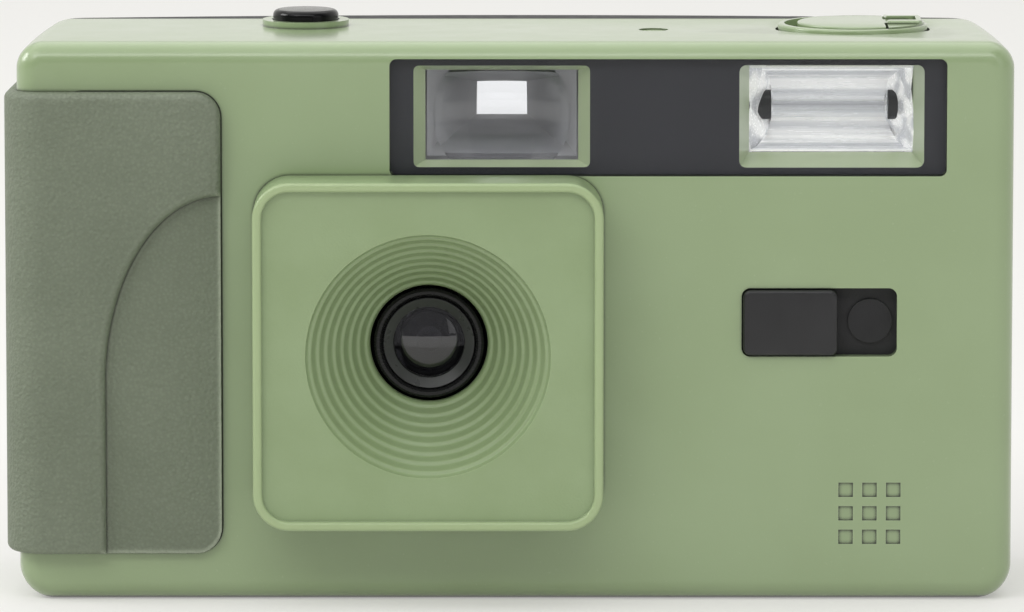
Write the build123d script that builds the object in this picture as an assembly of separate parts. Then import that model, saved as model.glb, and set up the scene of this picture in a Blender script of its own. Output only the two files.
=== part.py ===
from build123d import *
from math import atan2, cos, degrees, hypot, radians, sin, sqrt
import os

# A compact 35 mm film camera with a built-in flash. Millimetres.
# X runs to the right as the camera is looked at from the front, Y runs from the front
# to the rear, Z runs up. The origin is the middle of the flat base.

# Housing
body_width = 117.2
body_height = 66.1
body_depth = 35.5
shell_depth = 28.0
wall = 1.8
end_draw = 2.4
back_bow = 4.0
end_bulge = 0.36
top_round = 3.2
base_round = 4.2
front_round = 2.4
rear_corner = 5.2

# Clearances
seam = 0.3
slide_gap = 0.12
running_gap = 0.05
glue_gap = 0.1

# Lens, measured from the front plane backwards
lens_x = -10.2
lens_z = body_height / 2 - 3.05
ring_radius = 6.5
ring_front = 4.4
ring_length = 2.2
ring_edge = 0.3
ring_crest = 0.65
ring_ledge_outer = 5.4
ring_ledge_inner = 4.9
ring_ledge_sink = 0.9
ring_cone_sink = 1.8
front_glass_radius = 4.75
front_glass_rise = 0.75
front_glass_back = 2.6
front_glass_curve = 9.5
clear_glass_radius = 4.15
holder_radius = 6.45
holder_flange = 9.0
holder_flange_thickness = 1.2
holder_bore = 3.4
rear_glass_radius = 3.9
rear_glass_front = 3.3
rear_glass_thickness = 1.6
rear_glass_curve = 12.0
stop_radius = 1.3
stop_thickness = 0.3
shutter_plane = 15.0
shutter_plate_thickness = 1.0
shutter_plate_width = 28.0
shutter_plate_height = 24.0
shutter_plate_corner = 2.0
light_hole_radius = 3.0

# Lens shroud
shroud_side = 41.0
shroud_corner = 4.3
shroud_height = 8.0
shroud_wall = 2.0
rim_width = 1.1
rim_edge = 0.45
field_sink = 0.9
field_thickness = 1.6
funnel_mouth = 14.35
funnel_throat = 6.95
funnel_steps = 8
funnel_floor = 4.5
funnel_wall = 1.3
neck_length = 1.3
riser_draft = 0.22

# Window strip
strip_x = 17.9
strip_z = body_height - 8.83
strip_width = 65.3
strip_height = 13.8
strip_corner = 0.8
strip_thickness = 1.0
mask_thickness = 0.25
strip_sink = 0.25
strip_backing = 1.4
pad_margin = 0.8
pad_corner = 1.2

# Viewfinder
finder_x = -1.6
finder_z = body_height - 8.8
finder_width = 20.7
finder_height = 12.0
finder_border = 1.4
finder_corner = 0.65
finder_frame_depth = 3.2
objective_thickness = 3.4
objective_width = 18.6
objective_height = 11.2
dish_radius = 8.1
dish_curve = 16.0
eyepiece_width = 12.0
eyepiece_lift = 0.5
eyepiece_height = 8.5
eyepiece_thickness = 2.6
eyepiece_curve = 22.0
eyepiece_corner = 1.0
eyepiece_inset = 4.4
eyepiece_ledge = 0.6
tunnel_wall = 0.9
tunnel_ledge = 0.5

# Flash
flash_x = 37.1
flash_z = body_height - 8.8
flash_width = 21.7
flash_height = 12.1
flash_corner = 0.85
flash_frame_depth = 4.8
reflector_z = body_height - 8.3
reflector_width = 19.2
reflector_height = 10.2
reflector_depth = 7.4
reflector_rear_width = 13.1
reflector_sheet = 0.5
tube_radius = 1.5
tube_depth = 9.6
tube_half_length = 6.9
tube_end_radius = 1.75
tube_end_length = 2.4

# Flash switch
switch_x = 35.7
switch_z = body_height / 2 + 0.05
switch_slot_width = 18.24
switch_slot_height = 8.1
switch_slot_corner = 1.0
cap_width = 11.1
cap_height = 7.7
cap_corner = 0.9
cap_proud = 0.8
cap_thickness = 2.0
cap_edge = 0.4
switch_travel = 6.8
foot_inset = 0.8
foot_width = 2.2
foot_height = 2.4
foot_flare = 0.5
foot_flare_thickness = 0.7
bed_thickness = 1.0
bed_margin = 1.6
bed_corner = 1.2
boss_radius = 2.6
boss_offset = 6.0
boss_rise = 0.35

# Plain pattern of sunk squares on the front
pattern_x = 41.7
pattern_z = 10.4
pattern_rows = 3
pattern_pitch = 2.8
pattern_square = 1.7
pattern_sink = 0.3

# Grip
grip_right = 24.05 - body_width / 2
grip_low = 5.8
grip_high = body_height - 5.75
grip_end_proud = 1.55
grip_front_proud = 2.4
grip_recess_proud = 1.0
grip_depth = 26.5
grip_corner = 3.0
grip_edge = 0.9
grip_step_width = 13.6
grip_step_height = 22.0
grip_curve_height = 20.4

# Shutter button and release lever
button_x = -25.0
button_depth = 20.5
button_radius = 3.9
button_rise = 1.2
button_flange_radius = 4.2
button_flange_thickness = 1.2
button_edge = 0.7
collar_radius = 5.15
collar_rise = 0.75
stem_radius = 1.2
stem_length = 9.0
cup_depth = 6.2
cup_floor = 1.0
cup_wall = 0.65
spring_wire = 0.28
spring_radius = 2.2
spring_turns = 3
lever_x = -17.5
lever_z = body_height - 16.0
lever_post_radius = 0.9
lever_hub_radius = 2.1
lever_thickness = 1.2
lever_arm_height = 2.2
lever_arm_end = 0.6
lever_hub_end = 0.8
lever_leg_depth = 1.9
lever_leg_width = 1.8
lever_leg_thickness = 1.0
lever_leg_length = 6.5
lever_ear_width = 6.0

# Shutter blade
blade_pivot_x = -18.7
blade_pivot_z = lens_z + 8.6
blade_post_radius = 0.8
blade_radius = 5.0
blade_thickness = 0.5
blade_eye_radius = 2.0
blade_arm_width = 3.0
blade_tail_width = 1.8
blade_tail_length = 5.0
post_end = 0.5

# Film path
film_plane = 30.0
gate_width = 36.0
gate_height = 24.0
film_width = 35.0
gate_plate_thickness = 0.8
gate_plate_low = 7.6
rail_height = 0.6
rail_thickness = 1.0
rail_offset = 0.2
rail_inset = 4.0
box_front = 17.4
box_wall = 1.2
box_front_width = 19.0
box_front_height = 15.0
box_hole_radius = 4.6
chamber_floor = 6.2
chamber_ceiling = body_height - 13.3
chamber_plate = 1.2
chamber_wall = 1.1
gate_plate_high = chamber_ceiling - chamber_plate
chamber_setback = 1.0

# Cassette chamber and rewind crank
cassette_x = 40.2
cassette_depth = 19.8
cassette_radius = 12.8
rewind_shaft_radius = 3.0
fork_radius = 2.6
fork_reach = 6.0
fork_slot = 2.2
fork_slot_height = 4.0
crank_dish_radius = 10.6
crank_dish_depth = 0.4
crank_recess_depth = 1.8
disc_radius = 8.9
disc_rim = 0.75
disc_proud = 0.35
disc_floor = 1.1
disc_edge = 0.3
arm_radius = 7.35
arm_offset = 0.75
arm_proud = 0.55
arm_thickness = 1.0
arm_edge = 0.25
arm_pivot_offset = 6.4
arm_pin_radius = 0.3
tongue_width = 4.0
tongue_room = 1.1
stub_radius = 2.0
stub_inset = 1.2
stub_length = 0.8
ear_width = 1.4
ear_reach = 2.4
ear_rise = 0.4
ear_edge = 0.3

# Take-up spool and advance wheel
spool_x = -44.5
spool_depth = 20.6
spool_chamber_radius = 9.4
spool_radius = 4.2
spool_shaft_radius = 1.5
spool_slot_width = 1.2
spool_slot_floor = 1.2
spool_foot = 0.7
wheel_x = -42.0
wheel_depth = 26.0
wheel_radius = 9.8
wheel_thickness = 4.2
wheel_chamfer = 0.5
wheel_post_radius = 1.2
wheel_notches = 36
wheel_notch_radius = 0.45
wheel_notch_offset = 0.12
thumb_dip_radius = 9.5
thumb_dip_offset = 4.6
gear_teeth = 12
gear_thickness = 2.8
gear_addendum = 0.36
gear_dedendum = 0.56
gear_root_share = 0.30
gear_tip_share = 0.12
gear_low = chamber_ceiling + 1.8

# Sprocket
sprocket_x = -32.0
sprocket_depth = 24.1
sprocket_radius = 5.6
sprocket_teeth = 8
tooth_height = 1.1
tooth_root_width = 1.7
tooth_tip_width = 0.7
tooth_foot = 0.5
tooth_side_gap = 0.1
sprocket_z = lens_z + film_width / 2 - 2.2
sprocket_thickness = 1.8
sprocket_shaft_radius = 1.5
sprocket_lug_reach = 2.4
sprocket_lug_thickness = 2.2
sprocket_lug_drop = 2.1

# Frame counter
counter_x = -18.2
counter_depth = 28.0
counter_radius = 4.6
counter_low = body_height - 8.9
counter_height = 4.0
counter_post_radius = 1.0
counter_hub_radius = 2.0
counter_shelf_reach = 3.2
counter_window_width = 5.4
counter_window_height = 3.2
counter_notches = 40
counter_notch_radius = 0.22
counter_notch_height = 0.8
counter_window_corner = 0.5

# Rear door
door_low = 3.0
door_high = body_height - 14.0
door_front = 31.0
door_wall = 1.5
door_opening_half = body_width / 2 - end_draw - 3.3
door_rib_width = 1.0
door_rib_end = 2.0
ledge_thickness = 1.0
seal_thickness = 0.4
seal_width = 1.0
hinge_x = end_draw + 0.7 - body_width / 2
hinge_radius = 1.7
hinge_pin_radius = 0.8
knuckle_length = 5.0
knuckle_centre_offset = 14.0
plate_width = 42.0
plate_height = 33.0
plate_thickness = 0.8
plate_corner = 1.5
plate_gap = 0.4
leaf_thickness = 0.25
leaf_half = 15.0
leaf_height = 8.0
window_width = 6.0
window_height = 20.0
window_corner = 1.0
pane_sink = 0.2
latch_x = 47.0
latch_z = 27.0
latch_travel = 2.5
latch_width = 3.4
latch_height = 8.0
latch_corner = 0.8
latch_proud = 0.7
latch_neck_width = 2.0
latch_neck_height = 4.0
latch_hook_width = 3.2
latch_hook_height = 6.8
latch_hook_thickness = 0.9

# Battery bay
battery_x = 18.7
battery_depth = 20.0
battery_radius = 5.2
battery_length = chamber_ceiling - 9.2
battery_edge = 0.5
battery_end_gap = 1.0
battery_pip_radius = 1.9
battery_pip_height = 1.0
contact_radius = 3.6
contact_thickness = 0.4
contact_stud_radius = 1.6
battery_tube_gap = 0.3
battery_tube_wall = 0.8
battery_shelf_half = 8.0
lid_side = 15.0
lid_thickness = 1.1
lid_recess = 1.3
lid_sink = 0.1
lid_groove_length = 6.0
lid_groove_width = 0.8
lid_groove_depth = 0.35
lid_pin_radius = 0.35
lid_barrel_radius = 0.55

# Flash electronics
board_low = 8.0
board_high = chamber_ceiling - 4.7
board_left = 13.0
board_right = 24.6
board_depth = 2.3
board_thickness = 1.2
capacitor_radius = 4.4
capacitor_low = 11.0
capacitor_edge = 0.6
core_low = board_high - 8.0
capacitor_length = core_low - capacitor_low - 1.5
core_side = 9.2
core_depth = 7.0
core_height = 7.6
core_plate = 1.4
winding_radius = 3.3
lamp_x = 16.4
lamp_depth = 15.3
lamp_radius = 1.7
lamp_flange = 0.8
lamp_flange_thickness = 0.8
lamp_sink = 0.15
lamp_edge = 0.4

# Screws and rewind release
screw_radius = 0.9
screw_head_radius = 1.9
screw_length = 8.0
screw_head_height = 0.7
screw_edge = 2.2
cross_length = 2.4
cross_width = 0.5
cross_depth = 0.3
post_radius = 1.8
release_radius = 2.0
release_travel = 1.2
release_flange = 0.9
release_flange_thickness = 0.95
release_sink = 0.3

front_y = -body_depth / 2
far = 2 * body_width
over = 1.0


def at(depth):
    """The Y of a depth behind the front plane."""
    return front_y + depth


def block(x0, x1, y0, y1, z0, z1):
    middle = Pos((x0 + x1) / 2, (y0 + y1) / 2, (z0 + z1) / 2)
    return middle * Box(x1 - x0, y1 - y0, z1 - z0)


def upright(radius, x, y, z0, z1):
    lowest = (Align.CENTER, Align.CENTER, Align.MIN)
    return Pos(x, y, z0) * Cylinder(radius, z1 - z0, align=lowest)


def endways(radius, x, z, y0, y1):
    """A cylinder lying from front to rear."""
    lowest = (Align.CENTER, Align.CENTER, Align.MIN)
    return Pos(x, y0, z) * Rot(-90, 0, 0) * Cylinder(radius, y1 - y0, align=lowest)


def crossways(radius, y, z, x0, x1):
    """A cylinder lying from left to right."""
    lowest = (Align.CENTER, Align.CENTER, Align.MIN)
    return Pos(x0, y, z) * Rot(0, 90, 0) * Cylinder(radius, x1 - x0, align=lowest)


def front_plane(y):
    return Plane(origin=(0, y, 0), x_dir=(1, 0, 0), z_dir=(0, -1, 0))


def slab(outline, y0, y1):
    """A front-view outline, X across and Z up, carried from y0 back to y1."""
    return extrude(front_plane(y1) * outline, y1 - y0)


def rounded(x, z, width, height, radius):
    return Pos(x, z) * RectangleRounded(width, height, radius)


def tapered(x0, z0, w0, h0, y0, x1, z1, w1, h1, y1):
    """A four-sided tunnel shape from one upright rectangle to another."""
    first = front_plane(y0) * Pos(x0, z0) * Rectangle(w0, h0)
    last = front_plane(y1) * Pos(x1, z1) * Rectangle(w1, h1)
    return loft([first, last])


def turned(points, x, z):
    """Radius and Y pairs, spun about the front-to-rear line through x and z."""
    outline = make_face(Polyline(*points, close=True))
    return Pos(x, 0, z) * revolve(outline, Axis.Y)


def plan_outline(inset):
    """The housing from above: flat front, ends that draw in, bowed back."""
    front = front_y + inset
    shoulder = front_y + body_depth - back_bow - inset
    half = body_width / 2 - inset
    rear_half = half - end_draw
    middle_half = half - end_bulge * end_draw
    middle = (front + shoulder) / 2
    back = front_y + body_depth - inset
    right = ThreePointArc((half, front), (middle_half, middle), (rear_half, shoulder))
    rear = ThreePointArc((rear_half, shoulder), (0, back), (-rear_half, shoulder))
    left = ThreePointArc((-rear_half, shoulder), (-middle_half, middle), (-half, front))
    return make_face(Curve() + [right, rear, left, Line((-half, front), (half, front))])


def flat_at(edges, z):
    """The edges that lie level at a height."""
    level = []
    for edge in edges:
        box = edge.bounding_box()
        if abs(box.min.Z - z) < 0.01 and abs(box.max.Z - z) < 0.01:
            level.append(edge)
    return level


def housing_form(inset=0.0):
    """The whole outer form, or the same form shrunk by inset."""
    low = inset
    high = body_height - inset
    front = front_y + inset
    form = extrude(Pos(0, 0, low) * plan_outline(inset), high - low)
    corners = [e for e in form.edges().filter_by(Axis.Z) if e.center().Y > 0]
    form = fillet(corners, rear_corner - inset)
    behind = [e for e in form.edges() if e.center().Y > front + 0.1]
    form = fillet(flat_at(behind, high), top_round - inset)
    behind = [e for e in form.edges() if e.center().Y > front + 0.1]
    form = fillet(flat_at(behind, low), base_round - inset)
    rim = [e for e in form.edges() if e.bounding_box().max.Y < front + 0.01]
    return fillet(rim, max(front_round - inset, 0.5))


outer_form = housing_form()
inner_form = housing_form(wall)
fitting_form = housing_form(wall + glue_gap)

frame_depth = strip_sink + strip_thickness + mask_thickness
crank_z = body_height - crank_recess_depth
back_y = front_y + body_depth
gate_plate_front = film_plane - rail_height - gate_plate_thickness


def funnel_radius(depth):
    """The funnel's straight mean radius at a depth behind the front plane."""
    mouth_depth = field_sink - shroud_height
    share = (depth - mouth_depth) / (funnel_floor - mouth_depth)
    return funnel_mouth + (funnel_throat - funnel_mouth) * share


def finder_hole():
    return tapered(finder_x, finder_z, finder_width, finder_height, at(frame_depth - 0.01),
                   finder_x, finder_z, finder_width - 2 * finder_border,
                   finder_height - finder_border, at(finder_frame_depth + 0.01))


def flash_hole():
    return tapered(flash_x, flash_z, flash_width, flash_height, at(frame_depth - 0.01),
                   flash_x, reflector_z, reflector_width, reflector_height,
                   at(flash_frame_depth + 0.01))


def button_cup():
    """The guide under the button: a short tube with a floor."""
    y = at(button_depth)
    top = body_height - wall + 0.2
    low = body_height - wall - cup_depth
    radius = button_flange_radius + slide_gap
    cup = upright(radius + cup_wall, button_x, y, low, top)
    return cup - upright(radius, button_x, y, low + cup_floor, top)


def crank_boss():
    """The thicker top wall under the crank's recess."""
    boss = upright(disc_radius + seam + wall / 2, cassette_x, at(cassette_depth),
                   crank_z - wall / 2 - seam, body_height - glue_gap)
    return boss & housing_form(wall / 2)


def crank_recess():
    """A round well for the disc, with a shallow dish round its mouth."""
    lowest = (Align.CENTER, Align.CENTER, Align.MIN)
    well_radius = disc_radius + seam
    dish = Cone(well_radius, crank_dish_radius, crank_dish_depth, align=lowest)
    dish = Pos(cassette_x, at(cassette_depth), body_height - crank_dish_depth) * dish
    above = upright(crank_dish_radius, cassette_x, at(cassette_depth), body_height, body_height + over)
    return dish + above + upright(well_radius, cassette_x, at(cassette_depth), crank_z, body_height)


def screw_places():
    left = lens_x - gate_width / 2 + rail_offset
    right = battery_x - battery_radius - battery_tube_gap - battery_tube_wall - post_radius - seam
    heights = (gate_plate_low + screw_edge, gate_plate_high - screw_edge)
    return [(x, z) for x in (left, right) for z in heights]


def front_shell():
    front_part = block(-far, far, front_y - over, at(shell_depth), -over, body_height + over)
    shell = (outer_form - inner_form) & front_part
    pads = window_pad(strip_x, strip_z, strip_width, strip_height, frame_depth + strip_backing)
    pads += window_pad(finder_x, finder_z, finder_width, finder_height, finder_frame_depth)
    pads += window_pad(flash_x, flash_z, flash_width, flash_height, flash_frame_depth)
    shell += pads & housing_form(wall / 2)
    shell += upright(collar_radius, button_x, at(button_depth), body_height - wall / 2,
                     body_height + collar_rise)
    shell += button_cup()
    shell += crank_boss() & front_part
    for x, z in screw_places():
        shell += endways(post_radius, x, z, at(wall / 2), at(gate_plate_front))
    return shell - front_cuts()


def window_pad(x, z, width, height, depth):
    """A thicker stretch of the front wall round a window, as deep as its frame."""
    outline = rounded(x, z, width + 2 * pad_margin, height + 2 * pad_margin, pad_corner)
    return slab(outline, at(wall / 2), at(depth))


def front_cuts():
    """Everything that is cut through or into the front shell."""
    top = body_height
    strip_bed = slab(rounded(strip_x, strip_z, strip_width, strip_height, strip_corner),
                     front_y - over, at(frame_depth))
    switch = slab(rounded(switch_x, switch_z, switch_slot_width, switch_slot_height,
                          switch_slot_corner), front_y - over, at(wall + over))
    lens = endways(funnel_radius(0) + funnel_wall + slide_gap, lens_x, lens_z,
                   front_y - over, at(wall + over))
    button_y = at(button_depth)
    button = upright(button_radius + slide_gap, button_x, button_y, top - 2 * wall, top + 2 * over)
    flange = upright(button_flange_radius + slide_gap, button_x, button_y,
                     top - wall - cup_depth + cup_floor, top - wall)
    stem = upright(stem_radius + slide_gap, button_x, button_y, top - 2 * wall - cup_depth, top)
    shaft = upright(rewind_shaft_radius + running_gap, cassette_x, at(cassette_depth),
                    crank_z - 2 * wall, top)
    lamp = upright(lamp_radius + running_gap, lamp_x, at(lamp_depth), top - 2 * wall, top + over)
    cell = upright(battery_radius + battery_tube_gap, battery_x, at(battery_depth), -over, wall + over)
    lid = block(*lid_bounds(seam / 2), -over, lid_recess)
    release = upright(release_radius + slide_gap, sprocket_x, at(sprocket_depth), -over, wall + over)
    cuts = [strip_bed, finder_hole(), flash_hole(), switch, lens, button, flange, stem,
            shaft, lamp, cell, lid, release, crank_recess()]
    for x, z in screw_places():
        cuts.append(endways(screw_radius + running_gap, x, z, at(gate_plate_front - screw_length),
                            at(gate_plate_front + over)))
    return cuts + sunk_squares()


def sunk_squares():
    """A plain square pattern at the front's lower right."""
    squares = []
    for row in range(pattern_rows):
        for column in range(pattern_rows):
            x = pattern_x + (column - (pattern_rows - 1) / 2) * pattern_pitch
            z = pattern_z + (row - (pattern_rows - 1) / 2) * pattern_pitch
            outline = Pos(x, z) * Rectangle(pattern_square, pattern_square)
            squares.append(slab(outline, front_y - over, front_y + pattern_sink))
    return squares


def lid_bounds(margin):
    half = lid_side / 2 + margin
    y = at(battery_depth)
    return battery_x - half, battery_x + half, y - half, y + half


def grip_cover():
    """A soft cover that wraps the end: one raised level and one lowered level."""
    front = front_y - grip_front_proud
    wrap = Pos(0, grip_end_proud - grip_front_proud, grip_low) * plan_outline(-grip_end_proud)
    cover = extrude(wrap, grip_high - grip_low)
    cover &= block(-far, grip_right, -far, at(grip_depth), grip_low, grip_high)
    corner = [e for e in cover.edges().filter_by(Axis.Z)
              if e.center().Y < front + 0.1 and e.center().X < -body_width / 2]
    cover = fillet(corner, grip_front_proud + front_round)
    far_corners = [e for e in cover.edges().filter_by(Axis.Y) if e.center().X > grip_right - 0.1]
    cover = fillet(far_corners, grip_corner)
    cover -= slab(grip_recess_outline(), front - over, front_y - grip_recess_proud)
    face = [e for e in cover.edges() if e.bounding_box().max.Y < front + 0.01]
    cover = fillet(face, grip_edge)
    return cover - outer_form


def grip_recess_outline():
    """The lowered level: right of and below a quarter ellipse that runs down as a line."""
    ellipse_z = grip_low + grip_curve_height
    left = grip_right - grip_step_width
    quarter = EllipticalCenterArc((grip_right, ellipse_z), grip_step_width, grip_step_height,
                                  start_angle=90, arc_size=90)
    top = ellipse_z + grip_step_height
    edges = [quarter, Line((left, ellipse_z), (left, grip_low - over)),
             Line((left, grip_low - over), (grip_right + over, grip_low - over)),
             Line((grip_right + over, grip_low - over), (grip_right + over, top)),
             Line((grip_right + over, top), (grip_right, top))]
    return make_face(Curve() + edges)


def funnel_hollow():
    """Eight rings, each a short riser and a narrow flat, down to the throat."""
    mouth_y = front_y - shroud_height + field_sink
    floor_y = at(funnel_floor)
    step_depth = (floor_y - mouth_y) / funnel_steps
    step_width = (funnel_mouth - funnel_throat) / funnel_steps
    points = [(0, mouth_y - over), (funnel_mouth, mouth_y - over)]
    for step in range(funnel_steps):
        radius = funnel_mouth - step * step_width
        y = mouth_y + step * step_depth
        points.append((radius, y))
        points.append((radius - riser_draft, y + step_depth))
    points.append((funnel_throat, floor_y))
    points.append((funnel_throat, floor_y + neck_length + over))
    points.append((0, floor_y + neck_length + over))
    return turned(points, lens_x, lens_z)


def lens_shroud():
    front = front_y - shroud_height
    square = slab(rounded(lens_x, lens_z, shroud_side, shroud_side, shroud_corner), front, front_y)
    outer_rim = [e for e in square.edges() if e.bounding_box().max.Y < front + 0.01]
    square = fillet(outer_rim, rim_edge)
    inner_side = shroud_side - 2 * rim_width
    field = slab(rounded(lens_x, lens_z, inner_side, inner_side, shroud_corner - rim_width),
                 front - over, front + field_sink)
    hollow_side = shroud_side - 2 * shroud_wall
    hollow = slab(rounded(lens_x, lens_z, hollow_side, hollow_side, shroud_corner - shroud_wall),
                  front + field_sink + field_thickness, front_y + over)
    mouth_y = front + field_sink
    floor_y = at(funnel_floor)
    cone = turned([(0, mouth_y + seam), (funnel_mouth + funnel_wall, mouth_y + seam),
                   (funnel_throat + funnel_wall, floor_y),
                   (funnel_throat + funnel_wall, floor_y + neck_length),
                   (0, floor_y + neck_length)], lens_x, lens_z)
    return square - field - hollow + cone - funnel_hollow()


def lens_retaining_ring():
    """A black ring with a rounded crest, a ledge and a cone down to the glass."""
    y = at(ring_front)
    end = y + ring_length
    profile = [(ring_radius, end), (ring_radius, y + ring_edge), (ring_radius - ring_edge, y),
               (ring_radius - ring_crest, y), (ring_ledge_outer, y + ring_ledge_sink),
               (ring_ledge_inner, y + ring_ledge_sink), (clear_glass_radius, y + ring_cone_sink),
               (clear_glass_radius, end)]
    return turned(profile, lens_x, lens_z)


def lens_holder():
    """A stepped barrel: seats for two lenses and a flange on the shutter plate."""
    start = at(ring_front + ring_length)
    end = at(shutter_plane)
    seat = front_glass_radius + running_gap
    seat_end = start + front_glass_back + stop_thickness + glue_gap
    small_seat = rear_glass_radius + running_gap
    small_start = end - rear_glass_front - glue_gap
    small_end = end - rear_glass_front + rear_glass_thickness + glue_gap
    flange = end - holder_flange_thickness
    profile = [(seat, start), (holder_radius, start), (holder_radius, flange), (holder_flange, flange),
               (holder_flange, end), (light_hole_radius, end), (light_hole_radius, small_end),
               (small_seat, small_end), (small_seat, small_start), (holder_bore, small_start),
               (holder_bore, seat_end), (seat, seat_end)]
    return turned(profile, lens_x, lens_z)


def domed_lens(radius, crest_y, flat_y, curve):
    """A round lens with a domed front and a flat back."""
    glass = endways(radius, lens_x, lens_z, crest_y, flat_y)
    return glass & (Pos(lens_x, crest_y + curve, lens_z) * Sphere(curve))


def front_lens():
    start = at(ring_front + ring_length)
    return domed_lens(front_glass_radius, start - front_glass_rise, start + front_glass_back,
                      front_glass_curve)


def rear_lens():
    crest = at(shutter_plane) - rear_glass_front
    return domed_lens(rear_glass_radius, crest, crest + rear_glass_thickness, rear_glass_curve)


def aperture_stop():
    start = at(ring_front + ring_length) + front_glass_back + running_gap
    disc = endways(front_glass_radius, lens_x, lens_z, start, start + stop_thickness)
    return disc - endways(stop_radius, lens_x, lens_z, start - over, start + over)


def shutter_plate():
    """The plate that carries the lens in front and the blade and lever behind."""
    y0 = at(shutter_plane)
    y1 = y0 + shutter_plate_thickness
    plate = slab(rounded(lens_x, lens_z, shutter_plate_width, shutter_plate_height,
                         shutter_plate_corner), y0, y1)
    ear_top = lever_z + lever_hub_radius
    plate += slab(rounded(lever_x, (lens_z + ear_top) / 2, lever_ear_width, ear_top - lens_z,
                          shutter_plate_corner), y0, y1)
    plate += endways(blade_post_radius, blade_pivot_x, blade_pivot_z, y0,
                     y1 + seam + blade_thickness + post_end)
    plate += endways(lever_post_radius, lever_x, lever_z, y0, at(button_depth) + lever_thickness)
    return plate - endways(light_hole_radius, lens_x, lens_z, y0 - over, y1 + over)


def shutter_blade():
    """A disc on an arm that covers the lens, with a short tail above its pivot."""
    y0 = at(shutter_plane) + shutter_plate_thickness + seam
    y1 = y0 + blade_thickness
    disc = endways(blade_radius, lens_x, lens_z, y0, y1)
    eye = endways(blade_eye_radius, blade_pivot_x, blade_pivot_z, y0, y1)
    across = lens_x - blade_pivot_x
    down = blade_pivot_z - lens_z
    arm = Pos((lens_x + blade_pivot_x) / 2, (y0 + y1) / 2, (lens_z + blade_pivot_z) / 2)
    arm *= Rot(0, degrees(atan2(down, across)), 0)
    blade = disc + eye + arm * Box(hypot(across, down), blade_thickness, blade_arm_width)
    blade += block(blade_pivot_x - blade_tail_width / 2, blade_pivot_x + blade_tail_width / 2,
                   y0, y1, blade_pivot_z, blade_pivot_z + blade_tail_length)
    return blade - endways(blade_post_radius + running_gap, blade_pivot_x, blade_pivot_z,
                           y0 - over, y1 + over)


def release_lever():
    """A rocker: the button presses its left arm and its leg swings at the blade's tail."""
    y = at(button_depth)
    near = at(shutter_plane) + shutter_plate_thickness + lever_leg_depth
    hub = endways(lever_hub_radius, lever_x, lever_z, near, y + lever_hub_end)
    top = stem_bottom() - seam - running_gap
    arm = block(button_x - lever_arm_end, lever_x, y - lever_thickness / 2,
                y + lever_thickness / 2, top - lever_arm_height, top)
    leg = block(lever_x - lever_leg_width / 2, lever_x + lever_leg_width / 2, near,
                near + lever_leg_thickness, lever_z - lever_leg_length, lever_z)
    return hub + arm + leg - endways(lever_post_radius + running_gap, lever_x, lever_z,
                                     near - over, y + 2 * over)


def stem_bottom():
    return body_height - wall - button_flange_thickness - stem_length


def shutter_button():
    y = at(button_depth)
    crown = body_height + collar_rise + button_rise
    under = body_height - wall - button_flange_thickness
    head = upright(button_radius, button_x, y, under, crown)
    head = fillet(head.edges().group_by(Axis.Z)[-1], button_edge)
    flange = upright(button_flange_radius, button_x, y, under, body_height - wall - running_gap)
    return head + flange + upright(stem_radius, button_x, y, stem_bottom(), crown - 2 * over)


def button_spring():
    low = body_height - wall - cup_depth + cup_floor + spring_wire + running_gap
    high = body_height - wall - button_flange_thickness - spring_wire - running_gap
    coil = Helix((high - low) / spring_turns, high - low, spring_radius)
    section = Plane(origin=coil @ 0, z_dir=coil % 0) * Circle(spring_wire)
    return Pos(button_x, at(button_depth), low) * sweep(section, path=coil, is_frenet=True)


def window_strip():
    outline = rounded(strip_x, strip_z, strip_width - 2 * glue_gap, strip_height - 2 * glue_gap,
                      strip_corner - glue_gap)
    return slab(outline, at(strip_sink), at(strip_sink + strip_thickness))


def window_mask():
    """The dark print behind the clear strip, with its two windows left open."""
    outline = rounded(strip_x, strip_z, strip_width - 2 * glue_gap, strip_height - 2 * glue_gap,
                      strip_corner - glue_gap)
    outline -= rounded(finder_x, finder_z, finder_width, finder_height, finder_corner)
    outline -= rounded(flash_x, flash_z, flash_width, flash_height, flash_corner)
    return slab(outline, at(strip_sink + strip_thickness), at(frame_depth))


def viewfinder_objective():
    """A dished front lens, held against the back of the finder frame."""
    y0 = at(finder_frame_depth)
    y1 = y0 + objective_thickness
    glass = slab(Pos(finder_x, finder_z) * Rectangle(objective_width, objective_height), y0, y1)
    sink = dish_curve - sqrt(dish_curve ** 2 - dish_radius ** 2)
    return glass - Pos(finder_x, y0 + sink - dish_curve, finder_z) * Sphere(dish_curve)


def eyepiece_front():
    return at(body_depth - eyepiece_inset)


def eyepiece_z():
    return finder_z + eyepiece_lift


def viewfinder_tunnel():
    """A dark sleeve that narrows from the objective to the eyepiece."""
    y0 = at(finder_frame_depth) + objective_thickness
    y1 = eyepiece_front()
    wide = objective_width - 2 * tunnel_ledge
    high = objective_height - 2 * tunnel_ledge
    rear_wide = eyepiece_width - 2 * eyepiece_ledge
    rear_high = eyepiece_height - 2 * eyepiece_ledge
    bore = tapered(finder_x, finder_z, wide, high, y0 - 0.01,
                   finder_x, eyepiece_z(), rear_wide, rear_high, y1 + 0.01)
    sleeve = tapered(finder_x, finder_z, wide + 2 * tunnel_wall, high + 2 * tunnel_wall, y0,
                     finder_x, eyepiece_z(), rear_wide + 2 * tunnel_wall, rear_high + 2 * tunnel_wall, y1)
    return sleeve - bore


def viewfinder_eyepiece():
    y0 = eyepiece_front()
    y1 = y0 + eyepiece_thickness
    outline = rounded(finder_x, eyepiece_z(), eyepiece_width, eyepiece_height, eyepiece_corner)
    return slab(outline, y0, y1) & (Pos(finder_x, y1 - eyepiece_curve, eyepiece_z()) * Sphere(eyepiece_curve))


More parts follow.
